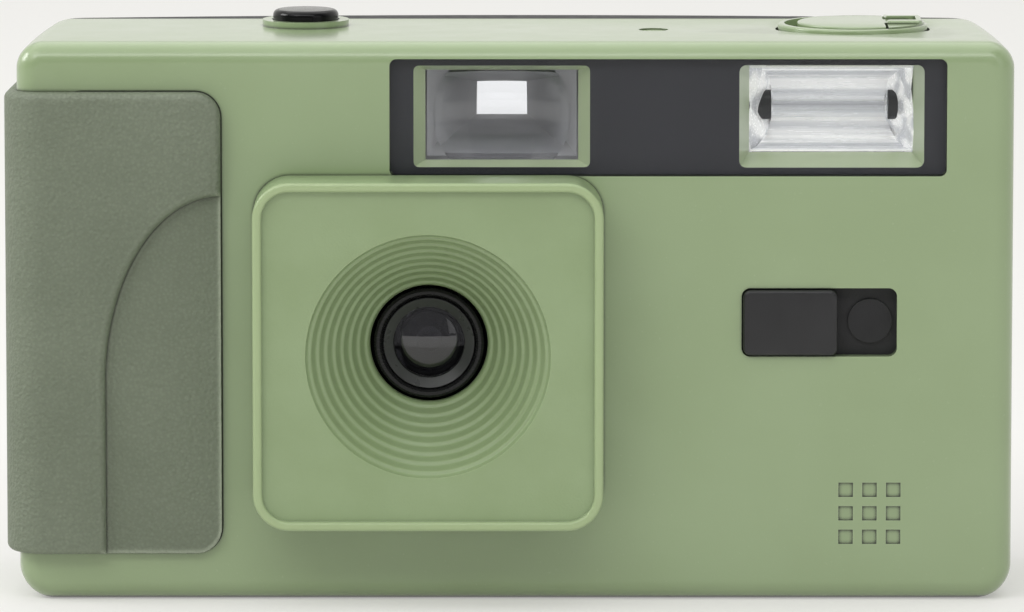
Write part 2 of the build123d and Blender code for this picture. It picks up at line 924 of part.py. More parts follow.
def reflector_form(sheet):
    """Half an ellipse in side view, drawn in from mouth to rear in plan."""
    mouth = at(flash_frame_depth)
    side = Plane(origin=(flash_x - far, mouth, reflector_z), x_dir=(0, 1, 0), z_dir=(1, 0, 0))
    trough = extrude(side * Ellipse(reflector_depth + sheet, reflector_height / 2 + sheet), 2 * far)
    wide = reflector_width / 2 + sheet
    narrow = reflector_rear_width / 2 + sheet
    rear = mouth + reflector_depth + over
    plan = make_face(Polyline((flash_x - wide, mouth), (flash_x + wide, mouth),
                              (flash_x + narrow, rear), (flash_x - narrow, rear), close=True))
    return trough & extrude(Pos(0, 0, reflector_z - far / 2) * plan, far)


def flash_reflector():
    """A folded foil trough with flared end flaps and a hole at each end for the tube."""
    sheet = reflector_form(reflector_sheet) - reflector_form(0)
    return sheet - crossways(tube_end_radius + slide_gap, at(tube_depth), reflector_z,
                             flash_x - far / 2, flash_x + far / 2)


def flash_tube():
    return crossways(tube_radius, at(tube_depth), reflector_z,
                     flash_x - tube_half_length, flash_x + tube_half_length)


def tube_ends():
    ends = []
    for side in (-1, 1):
        start = flash_x + side * tube_half_length
        end = start + side * tube_end_length
        near, far_end = min(start, end), max(start, end)
        ends.append(crossways(tube_end_radius, at(tube_depth), reflector_z, near, far_end))
    return Compound(ends)


def flash_switch():
    """The sliding cap, with a foot that passes through the bed and a flare that holds it."""
    x = switch_x - switch_slot_width / 2 + cap_width / 2 + seam / 2
    y0 = front_y - cap_proud
    y1 = y0 + cap_thickness
    under_bed = at(wall + bed_thickness) + seam
    cap = slab(rounded(x, switch_z, cap_width, cap_height, cap_corner), y0, y1)
    cap = fillet([e for e in cap.edges() if e.bounding_box().max.Y < y0 + 0.01], cap_edge)
    left = x - cap_width / 2 + foot_inset
    foot = block(left, left + foot_width, y0 + cap_edge, under_bed + glue_gap,
                 switch_z - foot_height / 2, switch_z + foot_height / 2)
    flare = block(left - foot_flare, left + foot_width + foot_flare, under_bed,
                  under_bed + foot_flare_thickness, switch_z - foot_height / 2 - 2 * foot_flare,
                  switch_z + foot_height / 2 + 2 * foot_flare)
    return cap + foot + flare


def switch_bed():
    """The plate behind the switch's window, with a round boss and the foot's slot."""
    y0 = at(wall)
    y1 = at(wall + bed_thickness)
    width = switch_slot_width + 2 * bed_margin
    height = switch_slot_height + 2 * bed_margin
    bed = slab(rounded(switch_x, switch_z, width, height, bed_corner), y0, y1)
    bed += endways(boss_radius, switch_x + boss_offset, switch_z, y0 - boss_rise, y1)
    left = switch_x - switch_slot_width / 2 + seam / 2 + foot_inset
    half = foot_height / 2 + slide_gap
    return bed - block(left - seam, left + foot_width + switch_travel + seam, y0 - over / 4, y1 + over,
                       switch_z - half, switch_z + half)


def light_box():
    """The dark box behind the shutter, opening to the film gate."""
    front = at(box_front)
    plate_y = at(gate_plate_front)
    plate_back = plate_y + gate_plate_thickness
    box = tapered(lens_x, lens_z, box_front_width, box_front_height, front,
                  lens_x, lens_z, gate_width + 2 * box_wall, gate_height + 2 * box_wall, plate_y)
    left = spool_x + spool_chamber_radius + chamber_wall
    right = cassette_x - cassette_radius - chamber_wall
    box += block(left, right, plate_y, plate_back, gate_plate_low, gate_plate_high)
    for side in (-1, 1):
        z = lens_z + side * (gate_height / 2 + rail_offset + rail_thickness / 2)
        box += block(left + rail_inset, right, plate_y, at(film_plane),
                     z - rail_thickness / 2, z + rail_thickness / 2)
    box += block(left, counter_x + counter_shelf_reach, at(sprocket_depth) - sprocket_shaft_radius - seam,
                 plate_back, chamber_ceiling - chamber_plate, chamber_ceiling)
    lug_top = sprocket_z - sprocket_lug_drop
    box += block(left, sprocket_x + sprocket_lug_reach, at(sprocket_depth) - sprocket_lug_thickness,
                 plate_back, lug_top - sprocket_lug_thickness, lug_top)
    box += upright(counter_post_radius, counter_x, at(counter_depth), chamber_ceiling - seam,
                   counter_low + counter_height - seam)
    hollow = tapered(lens_x, lens_z, box_front_width - 2 * box_wall, box_front_height - 2 * box_wall,
                     front + box_wall, lens_x, lens_z, gate_width, gate_height, plate_y + 0.01)
    box -= hollow
    box -= slab(Pos(lens_x, lens_z) * Rectangle(gate_width, gate_height), plate_y - 0.01,
                at(film_plane) + over)
    box -= endways(box_hole_radius, lens_x, lens_z, front - over, front + 2 * over)
    box -= upright(sprocket_shaft_radius + running_gap, sprocket_x, at(sprocket_depth), 0, body_height)
    box -= sprocket_space()
    for x, z in screw_places():
        box -= endways(screw_radius + running_gap, x, z, plate_y - over, plate_back + over)
    return box


def sprocket_space():
    reach = sprocket_radius + tooth_height + seam
    half = sprocket_thickness / 2 + seam
    return upright(reach, sprocket_x, at(sprocket_depth), sprocket_z - half, sprocket_z + half)


def trough(x, depth, radius):
    """A film chamber: round in front, straight walls running back, a floor and a ceiling."""
    y = at(depth)
    rear = at(film_plane - chamber_setback)
    low = chamber_floor - chamber_plate
    high = chamber_ceiling + chamber_plate
    thick = radius + chamber_wall
    solid = upright(thick, x, y, low, high) + block(x - thick, x + thick, y, rear, low, high)
    solid &= block(-far, far, -far, rear, 0, far)
    hollow = upright(radius, x, y, chamber_floor, chamber_ceiling)
    hollow += block(x - radius, x + radius, y, rear + over, chamber_floor, chamber_ceiling)
    return (solid - hollow) & fitting_form


def cassette_chamber():
    """The room for the film cassette, with a shelf over the battery beside it."""
    room = trough(cassette_x, cassette_depth, cassette_radius)
    y = at(cassette_depth)
    room += block(battery_x - battery_shelf_half, cassette_x - cassette_radius,
                  y - battery_shelf_half, y + battery_shelf_half,
                  chamber_ceiling, chamber_ceiling + chamber_plate)
    half = reflector_width / 2 + reflector_sheet + seam
    low = reflector_z - reflector_height / 2 - reflector_sheet - seam
    rear = at(flash_frame_depth + reflector_depth + reflector_sheet) + seam
    room -= block(flash_x - half, flash_x + half, front_y, rear, low, body_height)
    return room - upright(rewind_shaft_radius + running_gap, cassette_x, y,
                          chamber_ceiling - over, body_height)


def take_up_chamber():
    """The room for the wound film, with the post that the thumb wheel turns on."""
    room = trough(spool_x, spool_depth, spool_chamber_radius)
    y = at(spool_depth)
    bore = spool_shaft_radius + running_gap
    room -= sprocket_space()
    room -= upright(bore, spool_x, y, chamber_ceiling - over, body_height)
    room -= upright(bore, spool_x, y, chamber_floor - spool_foot - glue_gap, chamber_floor + over)
    return room + upright(wheel_post_radius, wheel_x, at(wheel_depth), chamber_ceiling + seam,
                          gear_low + gear_thickness + wheel_thickness + over)


def gear_outline(phase):
    """Twelve straight-flanked teeth on the pitch circle, phase in degrees."""
    pitch = hypot(wheel_x - spool_x, wheel_depth - spool_depth) / 2
    root = pitch - gear_dedendum
    tip = pitch + gear_addendum
    step = 360 / gear_teeth
    flanks = ((root, -gear_root_share), (tip, -gear_tip_share), (tip, gear_tip_share),
              (root, gear_root_share))
    points = []
    for tooth in range(gear_teeth):
        for radius, share in flanks:
            angle = radians(phase + (tooth + share) * step)
            points.append((radius * cos(angle), radius * sin(angle)))
    return make_face(Polyline(*points, close=True))


def mesh_angle():
    """The direction, in degrees, from the wheel's axis to the spool's axis."""
    return degrees(atan2(spool_depth - wheel_depth, spool_x - wheel_x))


def take_up_spool():
    """A slotted core on a shaft that carries a small gear above the chamber."""
    y = at(spool_depth)
    core = upright(spool_radius, spool_x, y, chamber_floor + seam, chamber_ceiling - seam)
    core -= block(spool_x - spool_slot_width / 2, spool_x + spool_slot_width / 2,
                  y + spool_slot_floor, y + 2 * spool_radius,
                  lens_z - film_width / 2, lens_z + film_width / 2)
    shaft = upright(spool_shaft_radius, spool_x, y, chamber_floor - spool_foot, gear_low + glue_gap)
    shaft -= block(spool_x - spool_slot_width / 2, spool_x + spool_slot_width / 2,
                   y + spool_slot_floor, y + 2 * spool_radius,
                   lens_z - film_width / 2, lens_z + film_width / 2)
    gear = extrude(Pos(spool_x, y, gear_low) * gear_outline(mesh_angle() + 180 + 180 / gear_teeth),
                   gear_thickness)
    return core + shaft + gear


def advance_wheel():
    """A thumb wheel with a notched rim, on a hub that is cut as a gear."""
    y = at(wheel_depth)
    low = gear_low + gear_thickness + seam
    high = low + wheel_thickness
    wheel = upright(wheel_radius, wheel_x, y, low, high)
    layers = wheel.edges().group_by(Axis.Z)
    wheel = chamfer(layers[0] + layers[-1], wheel_chamfer)
    notch = upright(wheel_notch_radius, wheel_x + wheel_radius + wheel_notch_offset, y,
                    low - over, high + over)
    wheel -= ring_of(notch, wheel_x, y, wheel_notches)
    gear = extrude(Pos(wheel_x, y, gear_low) * gear_outline(mesh_angle()), gear_thickness + 2 * seam)
    return wheel + gear - upright(wheel_post_radius + running_gap, wheel_x, y, gear_low - over, high + over)


def ring_of(solid, x, y, count):
    """Copies of a solid, evenly spaced round an upright line."""
    centre = Axis((x, y, 0), (0, 0, 1))
    return [solid.rotate(centre, 360 / count * place) for place in range(count)]


def sprocket():
    """The toothed wheel that the film's edge runs over, on a long upright shaft."""
    y = at(sprocket_depth)
    low = sprocket_z - sprocket_thickness / 2
    high = sprocket_z + sprocket_thickness / 2
    root = sprocket_radius - tooth_foot
    tip = sprocket_radius + tooth_height
    outline = make_face(Polyline((root, -tooth_root_width / 2), (tip, -tooth_tip_width / 2),
                                 (tip, tooth_tip_width / 2), (root, tooth_root_width / 2), close=True))
    tooth = extrude(Pos(sprocket_x, y, low + tooth_side_gap) * outline,
                    sprocket_thickness - 2 * tooth_side_gap)
    wheel = upright(sprocket_radius, sprocket_x, y, low, high)
    wheel += ring_of(tooth, sprocket_x, y, sprocket_teeth)
    foot = wall + release_flange_thickness + release_travel + over
    return wheel + upright(sprocket_shaft_radius, sprocket_x, y, foot, chamber_ceiling + 2 * over)


def counter_dial():
    """A drum whose rim carries the frame numbers, with a ratchet edge below."""
    y = at(counter_depth)
    drum = upright(counter_radius, counter_x, y, counter_low, counter_low + counter_height)
    notch = upright(counter_notch_radius, counter_x + counter_radius, y, counter_low - over,
                    counter_low + counter_notch_height)
    drum -= ring_of(notch, counter_x, y, counter_notches)
    drum += upright(counter_hub_radius, counter_x, y, chamber_ceiling + 3 * seam, counter_low + over)
    return drum - upright(counter_post_radius + running_gap, counter_x, y, chamber_ceiling, body_height)


def counter_window():
    outline = rounded(counter_x, counter_low + counter_height / 2, counter_window_width - 2 * glue_gap,
                      counter_window_height - 2 * glue_gap, counter_window_corner)
    return slab(outline, at(shell_depth), back_y + over) & wall_layer(seam, wall - glue_gap)


def wall_layer(outer, inner):
    """The layer of the housing's wall between two depths below its surface."""
    return housing_form(outer) - housing_form(inner)


def rewind_knob():
    """A cup in the top's well, with two ears for the crank, a shaft and the cassette's fork."""
    y = at(cassette_depth)
    cup = upright(disc_radius, cassette_x, y, crank_z + glue_gap, body_height + disc_proud)
    cup = fillet(cup.edges().group_by(Axis.Z)[-1], disc_edge)
    cup -= upright(disc_radius - disc_rim, cassette_x, y, cup_floor_z(), body_height + over)
    low = chamber_ceiling - fork_reach
    shaft = upright(rewind_shaft_radius, cassette_x, y, chamber_ceiling - seam, crank_z + 2 * glue_gap)
    fork = upright(fork_radius, cassette_x, y, low, chamber_ceiling)
    fork -= block(cassette_x - fork_slot / 2, cassette_x + fork_slot / 2, y - far, y + far,
                  low - over, low + fork_slot_height)
    stub_room = upright(stub_radius + seam, stub_x(), y, cup_floor_z() - stub_length, body_height)
    return cup + crank_ears() + shaft + fork - stub_room + crossing_pin()


def cup_floor_z():
    return body_height + disc_proud - disc_floor


def arm_pivot_x():
    return cassette_x + arm_pivot_offset


def stub_x():
    return cassette_x + arm_offset - arm_radius + stub_radius + stub_inset


def arm_z():
    return body_height + arm_proud - arm_thickness / 2


def crank_ears():
    """The cup's filled end: level with the folded arm, with a raised ear each side of its tongue."""
    y = at(cassette_depth)
    inside = upright(disc_radius - disc_rim / 2, cassette_x, y, crank_z + seam, body_height + far)
    left = arm_pivot_x() - ear_reach
    half = tongue_width / 2 + slide_gap
    low = cup_floor_z()
    level = body_height + arm_proud
    filled = inside & block(left, far, y - far, y + far, low - glue_gap, level)
    ears = block(left, arm_pivot_x() + ear_reach - 2 * seam, y - half - ear_width, y + half + ear_width,
                 level - glue_gap, level + ear_rise)
    ears = fillet(ears.edges().group_by(Axis.Z)[-1], ear_edge)
    slot = block(left - over, arm_pivot_x() + tongue_room, y - half, y + half, low, body_height + far)
    return filled + (ears & inside) - slot


def crossing_pin():
    """The pin across the slot that the arm folds on."""
    y = at(cassette_depth)
    half = tongue_width / 2 + slide_gap + ear_width / 2
    return endways(arm_pin_radius, arm_pivot_x(), arm_z(), y - half, y + half)


def crank_arm():
    """A round plate that folds flat in the cup, with a tongue to its pin and a finger stub below."""
    y = at(cassette_depth)
    x0 = arm_pivot_x()
    z = arm_z()
    half = arm_thickness / 2
    plate = upright(arm_radius, cassette_x + arm_offset, y, z - half, z + half)
    plate = fillet(plate.edges().group_by(Axis.Z)[-1], arm_edge)
    plate &= block(-far, x0 - ear_reach - seam, y - far, y + far, 0, far)
    plate += block(x0 - ear_reach - over, x0, y - tongue_width / 2, y + tongue_width / 2, z - half, z + half)
    plate += endways(half, x0, z, y - tongue_width / 2, y + tongue_width / 2)
    plate += upright(stub_radius, stub_x(), y, cup_floor_z() - stub_length + seam, z)
    return plate - endways(arm_pin_radius + running_gap, x0, z, y - tongue_width, y + tongue_width)


def knuckle_centres():
    middle = (door_low + door_high) / 2
    return middle - knuckle_centre_offset, middle + knuckle_centre_offset


def knuckle(z0, z1, radius):
    return upright(radius, hinge_x, at(door_front), z0, z1)


def rear_frame():
    """The dark rear moulding: a ring round the door opening and the band above it."""
    behind = block(-far, far, at(shell_depth), far, -over, body_height + over)
    frame = (outer_form - inner_form) & behind
    frame -= block(-far, far, at(door_front), far, door_low, door_high)
    frame -= block(-door_opening_half, door_opening_half, at(shell_depth - over), far, door_low, door_high)
    lintel_low = door_high + seal_thickness
    frame += block(-far, far, at(film_plane) - seal_thickness, far, lintel_low,
                   lintel_low + ledge_thickness) & housing_form(wall / 2)
    frame += sill_ledge()
    frame += crank_boss() & behind
    for centre in knuckle_centres():
        for z0 in (centre - 1.5 * knuckle_length, centre + 0.5 * knuckle_length + seam / 2):
            frame += knuckle(z0, z0 + knuckle_length - seam / 2, hinge_radius)
        frame -= knuckle(centre - 0.5 * knuckle_length - seam / 2,
                         centre + 0.5 * knuckle_length + seam / 2, hinge_radius + seam)
        frame -= knuckle(centre - 2 * knuckle_length, centre + 2 * knuckle_length,
                         hinge_pin_radius + running_gap)
    return frame - rear_cuts()


def sill_ledge():
    """The ledge inside the door's lower edge."""
    top = door_low - seal_thickness - 2 * glue_gap
    ledge = block(-far, far, at(film_plane - 1.5 * ledge_thickness), at(door_front + wall / 2),
                  wall / 2, top)
    return ledge & housing_form(wall / 2)


def rear_cuts():
    """Windows and rooms in the rear frame, for what reaches into it."""
    low = gear_low + gear_thickness
    eye = slab(rounded(finder_x, eyepiece_z(), eyepiece_width + 2 * glue_gap,
                       eyepiece_height + 2 * glue_gap, eyepiece_corner), at(shell_depth), far)
    dial = slab(rounded(counter_x, counter_low + counter_height / 2, counter_window_width,
                        counter_window_height, counter_window_corner), at(shell_depth), far)
    wheel = upright(wheel_radius + seam, wheel_x, at(wheel_depth), low, low + wheel_thickness + 2 * seam)
    thumb = Pos(wheel_x, back_y + thumb_dip_offset, low + seam + wheel_thickness / 2)
    drum = upright(counter_radius + seam, counter_x, at(counter_depth), counter_low - seam,
                   counter_low + counter_height + seam)
    room = 2 * tunnel_wall + 2 * seam
    tunnel = slab(Pos(finder_x, eyepiece_z()) * Rectangle(eyepiece_width + room, eyepiece_height + room),
                  at(shell_depth), eyepiece_front() + glue_gap)
    return [eye, dial, wheel, thumb * Sphere(thumb_dip_radius), drum, tunnel, crank_recess()]


def rear_door():
    """The bowed back: its knuckles, stiffening ribs, a window and the latch's slot."""
    behind = block(-far, far, at(door_front) + seam, far, door_low + seam, door_high - seam)
    door = (outer_form - housing_form(door_wall)) & behind
    hinge_side = hinge_x + 2 * hinge_radius + 2 * door_rib_end
    plate_side = lens_x + plate_width / 2 + 2 * door_rib_end
    cassette_side = cassette_x - cassette_radius
    for x in (hinge_side, plate_side, cassette_side):
        rib = block(x - door_rib_width / 2, x + door_rib_width / 2, at(door_front + wall / 2), far,
                    door_low + door_rib_end, door_high - door_rib_end)
        door += rib & housing_form(door_wall / 2)
    for centre in knuckle_centres():
        for side in (-1, 1):
            middle = centre + side * knuckle_length
            door -= knuckle(middle - knuckle_length / 2 - seam / 2,
                            middle + knuckle_length / 2 + seam / 2, hinge_radius + seam)
        door += knuckle(centre - 0.5 * knuckle_length + seam / 2,
                        centre + 0.5 * knuckle_length - seam / 2, hinge_radius)
        door -= knuckle(centre - knuckle_length, centre + knuckle_length,
                        hinge_pin_radius + running_gap)
    door -= slab(rounded(cassette_x, lens_z, window_width, window_height, window_corner),
                 at(door_front), far)
    slot_half = latch_neck_width / 2 + 2 * glue_gap
    low = latch_z - latch_neck_height / 2 - 2 * glue_gap
    return door - block(latch_x - slot_half, latch_x + slot_half, at(door_front), far, low,
                        low + latch_neck_height + 4 * glue_gap + latch_travel)


def hinge_pins():
    pins = []
    for centre in knuckle_centres():
        pins.append(upright(hinge_pin_radius, hinge_x, at(door_front),
                            centre - 1.5 * knuckle_length, centre + 1.5 * knuckle_length))
    return Compound(pins)


def cassette_window():
    outline = rounded(cassette_x, lens_z, window_width - 2 * glue_gap,
                      window_height - 2 * glue_gap, window_corner - glue_gap)
    return slab(outline, at(door_front), far) & wall_layer(pane_sink, door_wall - pane_sink)


def door_latch():
    """A slider on the rear door: pad outside, neck through the slot, and hook inside."""
    back = at(door_front)
    inner_y = door_inner_y(latch_x) - seam
    pad = slab(rounded(latch_x, latch_z, latch_width, latch_height, latch_corner), back, far)
    pad &= outer_with(latch_proud) - outer_form
    half = latch_neck_width / 2
    low = latch_z - latch_neck_height / 2
    high = latch_z + latch_neck_height / 2
    neck = block(latch_x - half, latch_x + half, inner_y - latch_hook_thickness, far, low, high)
    neck &= outer_with(seam)
    hook = block(latch_x - latch_hook_width / 2, latch_x + latch_hook_width / 2,
                 inner_y - latch_hook_thickness, inner_y,
                 latch_z - latch_hook_height / 2, latch_z + latch_hook_height / 2)
    return pad + neck + hook


def outer_with(proud):
    """The housing's bowed back, moved out by a little."""
    return Pos(0, proud, 0) * outer_form


def door_inner_y(x):
    """The Y of the door's inner face at an X, on the bowed back."""
    half = body_width / 2 - end_draw
    bow = back_bow
    radius = (half ** 2 + bow ** 2) / (2 * bow)
    return back_y - radius + sqrt(radius ** 2 - x ** 2) - door_wall


def pressure_plate():
    y0 = at(film_plane + plate_gap)
    plate = slab(rounded(lens_x, lens_z, plate_width, plate_height, plate_corner), y0, y0 + plate_thickness)
    return plate - upright(sprocket_radius + tooth_height + 2 * seam, sprocket_x, at(sprocket_depth),
                           sprocket_z - sprocket_thickness, far)


def pressure_spring():
    """A bowed leaf on the back of the pressure plate."""
    y = at(film_plane + plate_gap) + plate_thickness
    crest = door_inner_y(lens_x) - 2 * seam
    start = (lens_x - leaf_half, y)
    end = (lens_x + leaf_half, y)
    thick = leaf_thickness
    inner = ThreePointArc(start, (lens_x, crest - thick), end)
    outer = ThreePointArc((start[0], y + thick), (lens_x, crest), (end[0], y + thick))
    leaf = make_face(Curve() + [outer, inner, Line(outer @ 0, inner @ 0), Line(outer @ 1, inner @ 1)])
    return extrude(Pos(0, 0, lens_z - leaf_height / 2) * leaf, leaf_height)


def light_seal():
    """Two foam strips that the closed door presses against."""
    upper = block(-door_opening_half, door_opening_half, at(film_plane + wall / 2 + seam),
                  at(film_plane + wall / 2 + seam + seal_width), door_high, door_high + seal_thickness)
    lower = block(-door_opening_half, door_opening_half, at(film_plane - seal_width / 2),
                  at(film_plane + seal_width / 2), door_low - seal_thickness - glue_gap,
                  door_low - glue_gap)
    return Compound([upper & fitting_form, lower & fitting_form])


def battery_tube():
    y = at(battery_depth)
    radius = battery_radius + battery_tube_gap
    top = battery_top() + contact_thickness + 5 * glue_gap
    tube = upright(radius + battery_tube_wall, battery_x, y, wall, top + battery_tube_wall)
    return tube - upright(radius, battery_x, y, wall - over, top)


def battery_top():
    return wall + battery_end_gap + battery_length + battery_pip_height


def battery():
    y = at(battery_depth)
    low = wall + battery_end_gap
    cell = upright(battery_radius, battery_x, y, low, low + battery_length)
    cell = fillet(cell.edges(), battery_edge)
    return cell + upright(battery_pip_radius, battery_x, y, low + battery_edge, battery_top())


def battery_contacts():
    """A flat contact above the cell and one with a stud on the lid below it."""
    y = at(battery_depth)
    top = battery_top() + glue_gap
    upper = upright(contact_radius, battery_x, y, top, top + contact_thickness)
    low = lid_recess + glue_gap
    lower = upright(contact_radius, battery_x, y, low, low + contact_thickness)
    lower += upright(contact_stud_radius, battery_x, y, low, wall + battery_end_gap - glue_gap)
    return Compound([upper, lower])


def battery_door():
    """A small lid in the base, hinged along its front edge."""
    x0, x1, y0, y1 = lid_bounds(-seam / 2)
    pin_y = y0 + lid_barrel_radius
    pin_z = lid_sink + lid_barrel_radius
    lid = block(x0, x1, pin_y, y1, lid_sink, lid_sink + lid_thickness)
    lid += crossways(lid_barrel_radius, pin_y, pin_z, x0, x1)
    lid -= block(battery_x - lid_groove_length / 2, battery_x + lid_groove_length / 2,
                 y1 - 2 * lid_groove_width, y1 - lid_groove_width, -over, lid_sink + lid_groove_depth)
    return lid - crossways(lid_pin_radius + running_gap, pin_y, pin_z, x0 - over, x1 + over)


def lid_pin():
    x0, x1, y0, y1 = lid_bounds(seam / 2)
    return crossways(lid_pin_radius, y0 + seam + lid_barrel_radius, lid_sink + lid_barrel_radius,
                     x0 + running_gap, x1 - running_gap)


def flash_board():
    return block(board_left, board_right, at(board_depth), at(board_depth + board_thickness),
                 board_low, board_high)


def flash_capacitor():
    y = at(board_depth + board_thickness) + capacitor_radius + seam
    can = upright(capacitor_radius, battery_x, y, capacitor_low, capacitor_low + capacitor_length)
    return fillet(can.edges(), capacitor_edge)


def flash_transformer():
    """A wound coil between two square core plates."""
    y = at(board_depth + board_thickness)
    x = (board_left + board_right) / 2
    half = core_side / 2
    top = core_low + core_height
    core = block(x - half, x + half, y, y + core_depth, core_low, core_low + core_plate)
    core += block(x - half, x + half, y, y + core_depth, top - core_plate, top)
    return core + upright(winding_radius, x, y + core_depth / 2, core_low, top)


def ready_lamp():
    y = at(lamp_depth)
    low = body_height - wall - lamp_flange_thickness
    lamp = upright(lamp_radius, lamp_x, y, low, body_height - lamp_sink)
    lamp += upright(lamp_radius + lamp_flange, lamp_x, y, low, body_height - wall)
    return fillet(lamp.edges().group_by(Axis.Z)[-1], lamp_edge)


def housing_screws():
    """Four screws that hold the film gate to the posts of the front shell."""
    screws = []
    plate_y = at(gate_plate_front)
    for x, z in screw_places():
        head_y = plate_y + gate_plate_thickness
        head_end = head_y + screw_head_height
        screw = endways(screw_radius, x, z, plate_y - screw_length + seam, head_y + glue_gap)
        head = endways(screw_head_radius, x, z, head_y, head_end)
        cross = Rectangle(cross_length, cross_width) + Rectangle(cross_width, cross_length)
        cross = slab(Pos(x, z) * cross, head_end - cross_depth, head_end + over)
        screws.append((screw + head - cross).solid())
    return Compound(screws)


def rewind_release():
    """The small button in the base that frees the sprocket."""
    y = at(sprocket_depth)
    top = wall + running_gap + release_flange_thickness
    button = upright(release_radius, sprocket_x, y, release_sink, top)
    return button + upright(release_radius + release_flange, sprocket_x, y, wall + running_gap, top)


pieces = [
    front_shell, grip_cover, lens_shroud, lens_retaining_ring, lens_holder, front_lens,
    rear_lens, aperture_stop, shutter_plate, shutter_blade, release_lever, shutter_button,
    button_spring, window_strip, window_mask, viewfinder_objective, viewfinder_tunnel,
    viewfinder_eyepiece, flash_reflector, flash_tube, tube_ends, flash_switch, switch_bed,
    light_box, cassette_chamber, take_up_chamber, take_up_spool, advance_wheel, sprocket,
    counter_dial, counter_window, rewind_knob, crank_arm, rear_frame, rear_door, hinge_pins,
    cassette_window, door_latch, pressure_plate, pressure_spring, light_seal, battery_tube,
    battery, battery_contacts, battery_door, lid_pin, flash_board, flash_capacitor,
    flash_transformer, ready_lamp, housing_screws, rewind_release,
]

os.makedirs("parts", exist_ok=True)
for piece in pieces:
    export_step(piece(), f"parts/{piece.__name__}.step")
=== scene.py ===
import bmesh
import bpy
from math import atan2, cos, hypot, pi, radians, sin
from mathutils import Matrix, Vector


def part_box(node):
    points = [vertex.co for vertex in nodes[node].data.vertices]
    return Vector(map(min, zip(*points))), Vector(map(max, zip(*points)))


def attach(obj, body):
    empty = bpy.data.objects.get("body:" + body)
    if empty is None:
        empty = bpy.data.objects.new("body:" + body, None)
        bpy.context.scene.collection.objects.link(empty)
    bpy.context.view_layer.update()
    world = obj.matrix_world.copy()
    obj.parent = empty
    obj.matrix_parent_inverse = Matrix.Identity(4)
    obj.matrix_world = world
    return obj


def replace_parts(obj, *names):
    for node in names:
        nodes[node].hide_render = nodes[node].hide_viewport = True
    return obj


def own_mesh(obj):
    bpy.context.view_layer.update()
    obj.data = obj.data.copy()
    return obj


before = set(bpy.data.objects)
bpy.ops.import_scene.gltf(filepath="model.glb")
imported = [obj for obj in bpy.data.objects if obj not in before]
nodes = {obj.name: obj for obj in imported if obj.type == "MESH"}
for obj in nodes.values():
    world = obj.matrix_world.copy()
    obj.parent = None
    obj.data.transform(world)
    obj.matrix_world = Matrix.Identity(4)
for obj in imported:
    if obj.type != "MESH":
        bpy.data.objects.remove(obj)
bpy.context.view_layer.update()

# Lengths below are metres, written as millimetres times mm.
mm = 0.001

# Viewpoint: a long lens straight in front of the camera body and a little above it;
# the sensor's width alone is in plain millimetres, as Blender counts it
view_distance = 1000 * mm
view_height = 170.6 * mm
view_x = -0.4 * mm
aim_height = 35.05 * mm
view_width = 120.25 * mm
sensor_width = 36.0
far_clip = 50.0

# Smoothing of the nodes: triangles joined within this reach, edges kept above this angle
weld_reach = 0.002 * mm
sharp_angle = radians(28)

# Lens shroud: a square rim, a flat field and eight rings down to the throat
shroud_corner = 4.3 * mm
corner_segments = 12
rim_width = 1.1 * mm
rim_edge = 0.4 * mm
rim_segments = 4
# Depth over which the rim's painted light fades out
rim_light_fade = 0.5 * mm
field_sink = 0.9 * mm
ring_count = 8
ring_mouth = 14.35 * mm
ring_throat = 6.95 * mm
throat_depth = 4.5 * mm
neck_length = 1.25 * mm
ring_wave = 0.9
ring_points = 10
ring_segments = 144
mouth_edge = 0.25 * mm
mouth_segments = 3
mouth_angle = radians(40)
mouth_land = 1.0 * mm
shroud_wall = 0.8 * mm

# Painted shade: a dark sheet round the rubber cover, on the flat front, standing for the shade in the
# joint
seam_start = 4.5 * mm
seam_width = 0.16 * mm
seam_corner = 3.2 * mm
seam_segments = 8
seam_lift = 0.03 * mm

# Frames behind the window strip, painted paler: painted light standing for the light that falls on them
frame_light_depth = 6.0 * mm

# Blank cone round the glass
barrel_outer = 5.35 * mm
barrel_inner = 4.25 * mm
barrel_sink = 0.35 * mm
barrel_depth = 0.7 * mm
barrel_sheet = 0.12 * mm
barrel_segments = 96

# Flash trough: flat facets along half an ellipse, and a creased flap at each end;
# the smooth angles are small, so that the facets show
trough_sink = 4.85 * mm
trough_width = 19.0 * mm
trough_rear_width = 13.2 * mm
trough_height = 10.1 * mm
trough_depth = 7.2 * mm
trough_facets = 11
trough_sheet = 0.2 * mm
trough_smooth = 12
flap_spokes = 16
flap_crease = 0.5 * mm
flap_lap = 0.5 * mm
flap_sheet = 0.05 * mm
flap_smooth = 8
flap_seed = 4

# Coil under the shutter button
coil_wire = 0.28 * mm
wire_segments = 10
coil_turns = 3
coil_steps = 32

# Plain numbers on the counter's drum
number_count = 10
number_step = 4
number_size = 2.4 * mm
number_relief = 0.08 * mm
number_drop = 2.0 * mm

# Ground, room, and the point that the lamps face; the room that shows in mirrors
# turns from dim to pale between two directions, from -1 in front to 1 behind
ground_side = 6.0
ground_glow = 0.4
glow_through_glass = 1.75
room_light = (0.9, 0.9, 0.89, 1.0)
room_strength = 0.55
dim_until = -0.35
pale_from = 0.25
lamp_aim = Vector((0, 0, 30 * mm))

# Places that the finishes and the new pieces share, read from the frame
shell_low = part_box("front_shell")[0]
shroud_low, shroud_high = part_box("lens_shroud")
trough_low, trough_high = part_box("flash_reflector")
strip_low, strip_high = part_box("window_strip")
front = shell_low.y
lens_x = (shroud_low.x + shroud_high.x) / 2
lens_z = (shroud_low.z + shroud_high.z) / 2
shroud_side = shroud_high.x - shroud_low.x
flash_x = (trough_low.x + trough_high.x) / 2
flash_z = (trough_low.z + trough_high.z) / 2


def srgb(red, green, blue):
    """A colour as it looks on screen, 0 to 255, turned into linear light."""
    values = []
    for value in (red, green, blue):
        share = value / 255
        values.append(share / 12.92 if share <= 0.04045 else ((share + 0.055) / 1.055) ** 2.4)
    return (*values, 1.0)


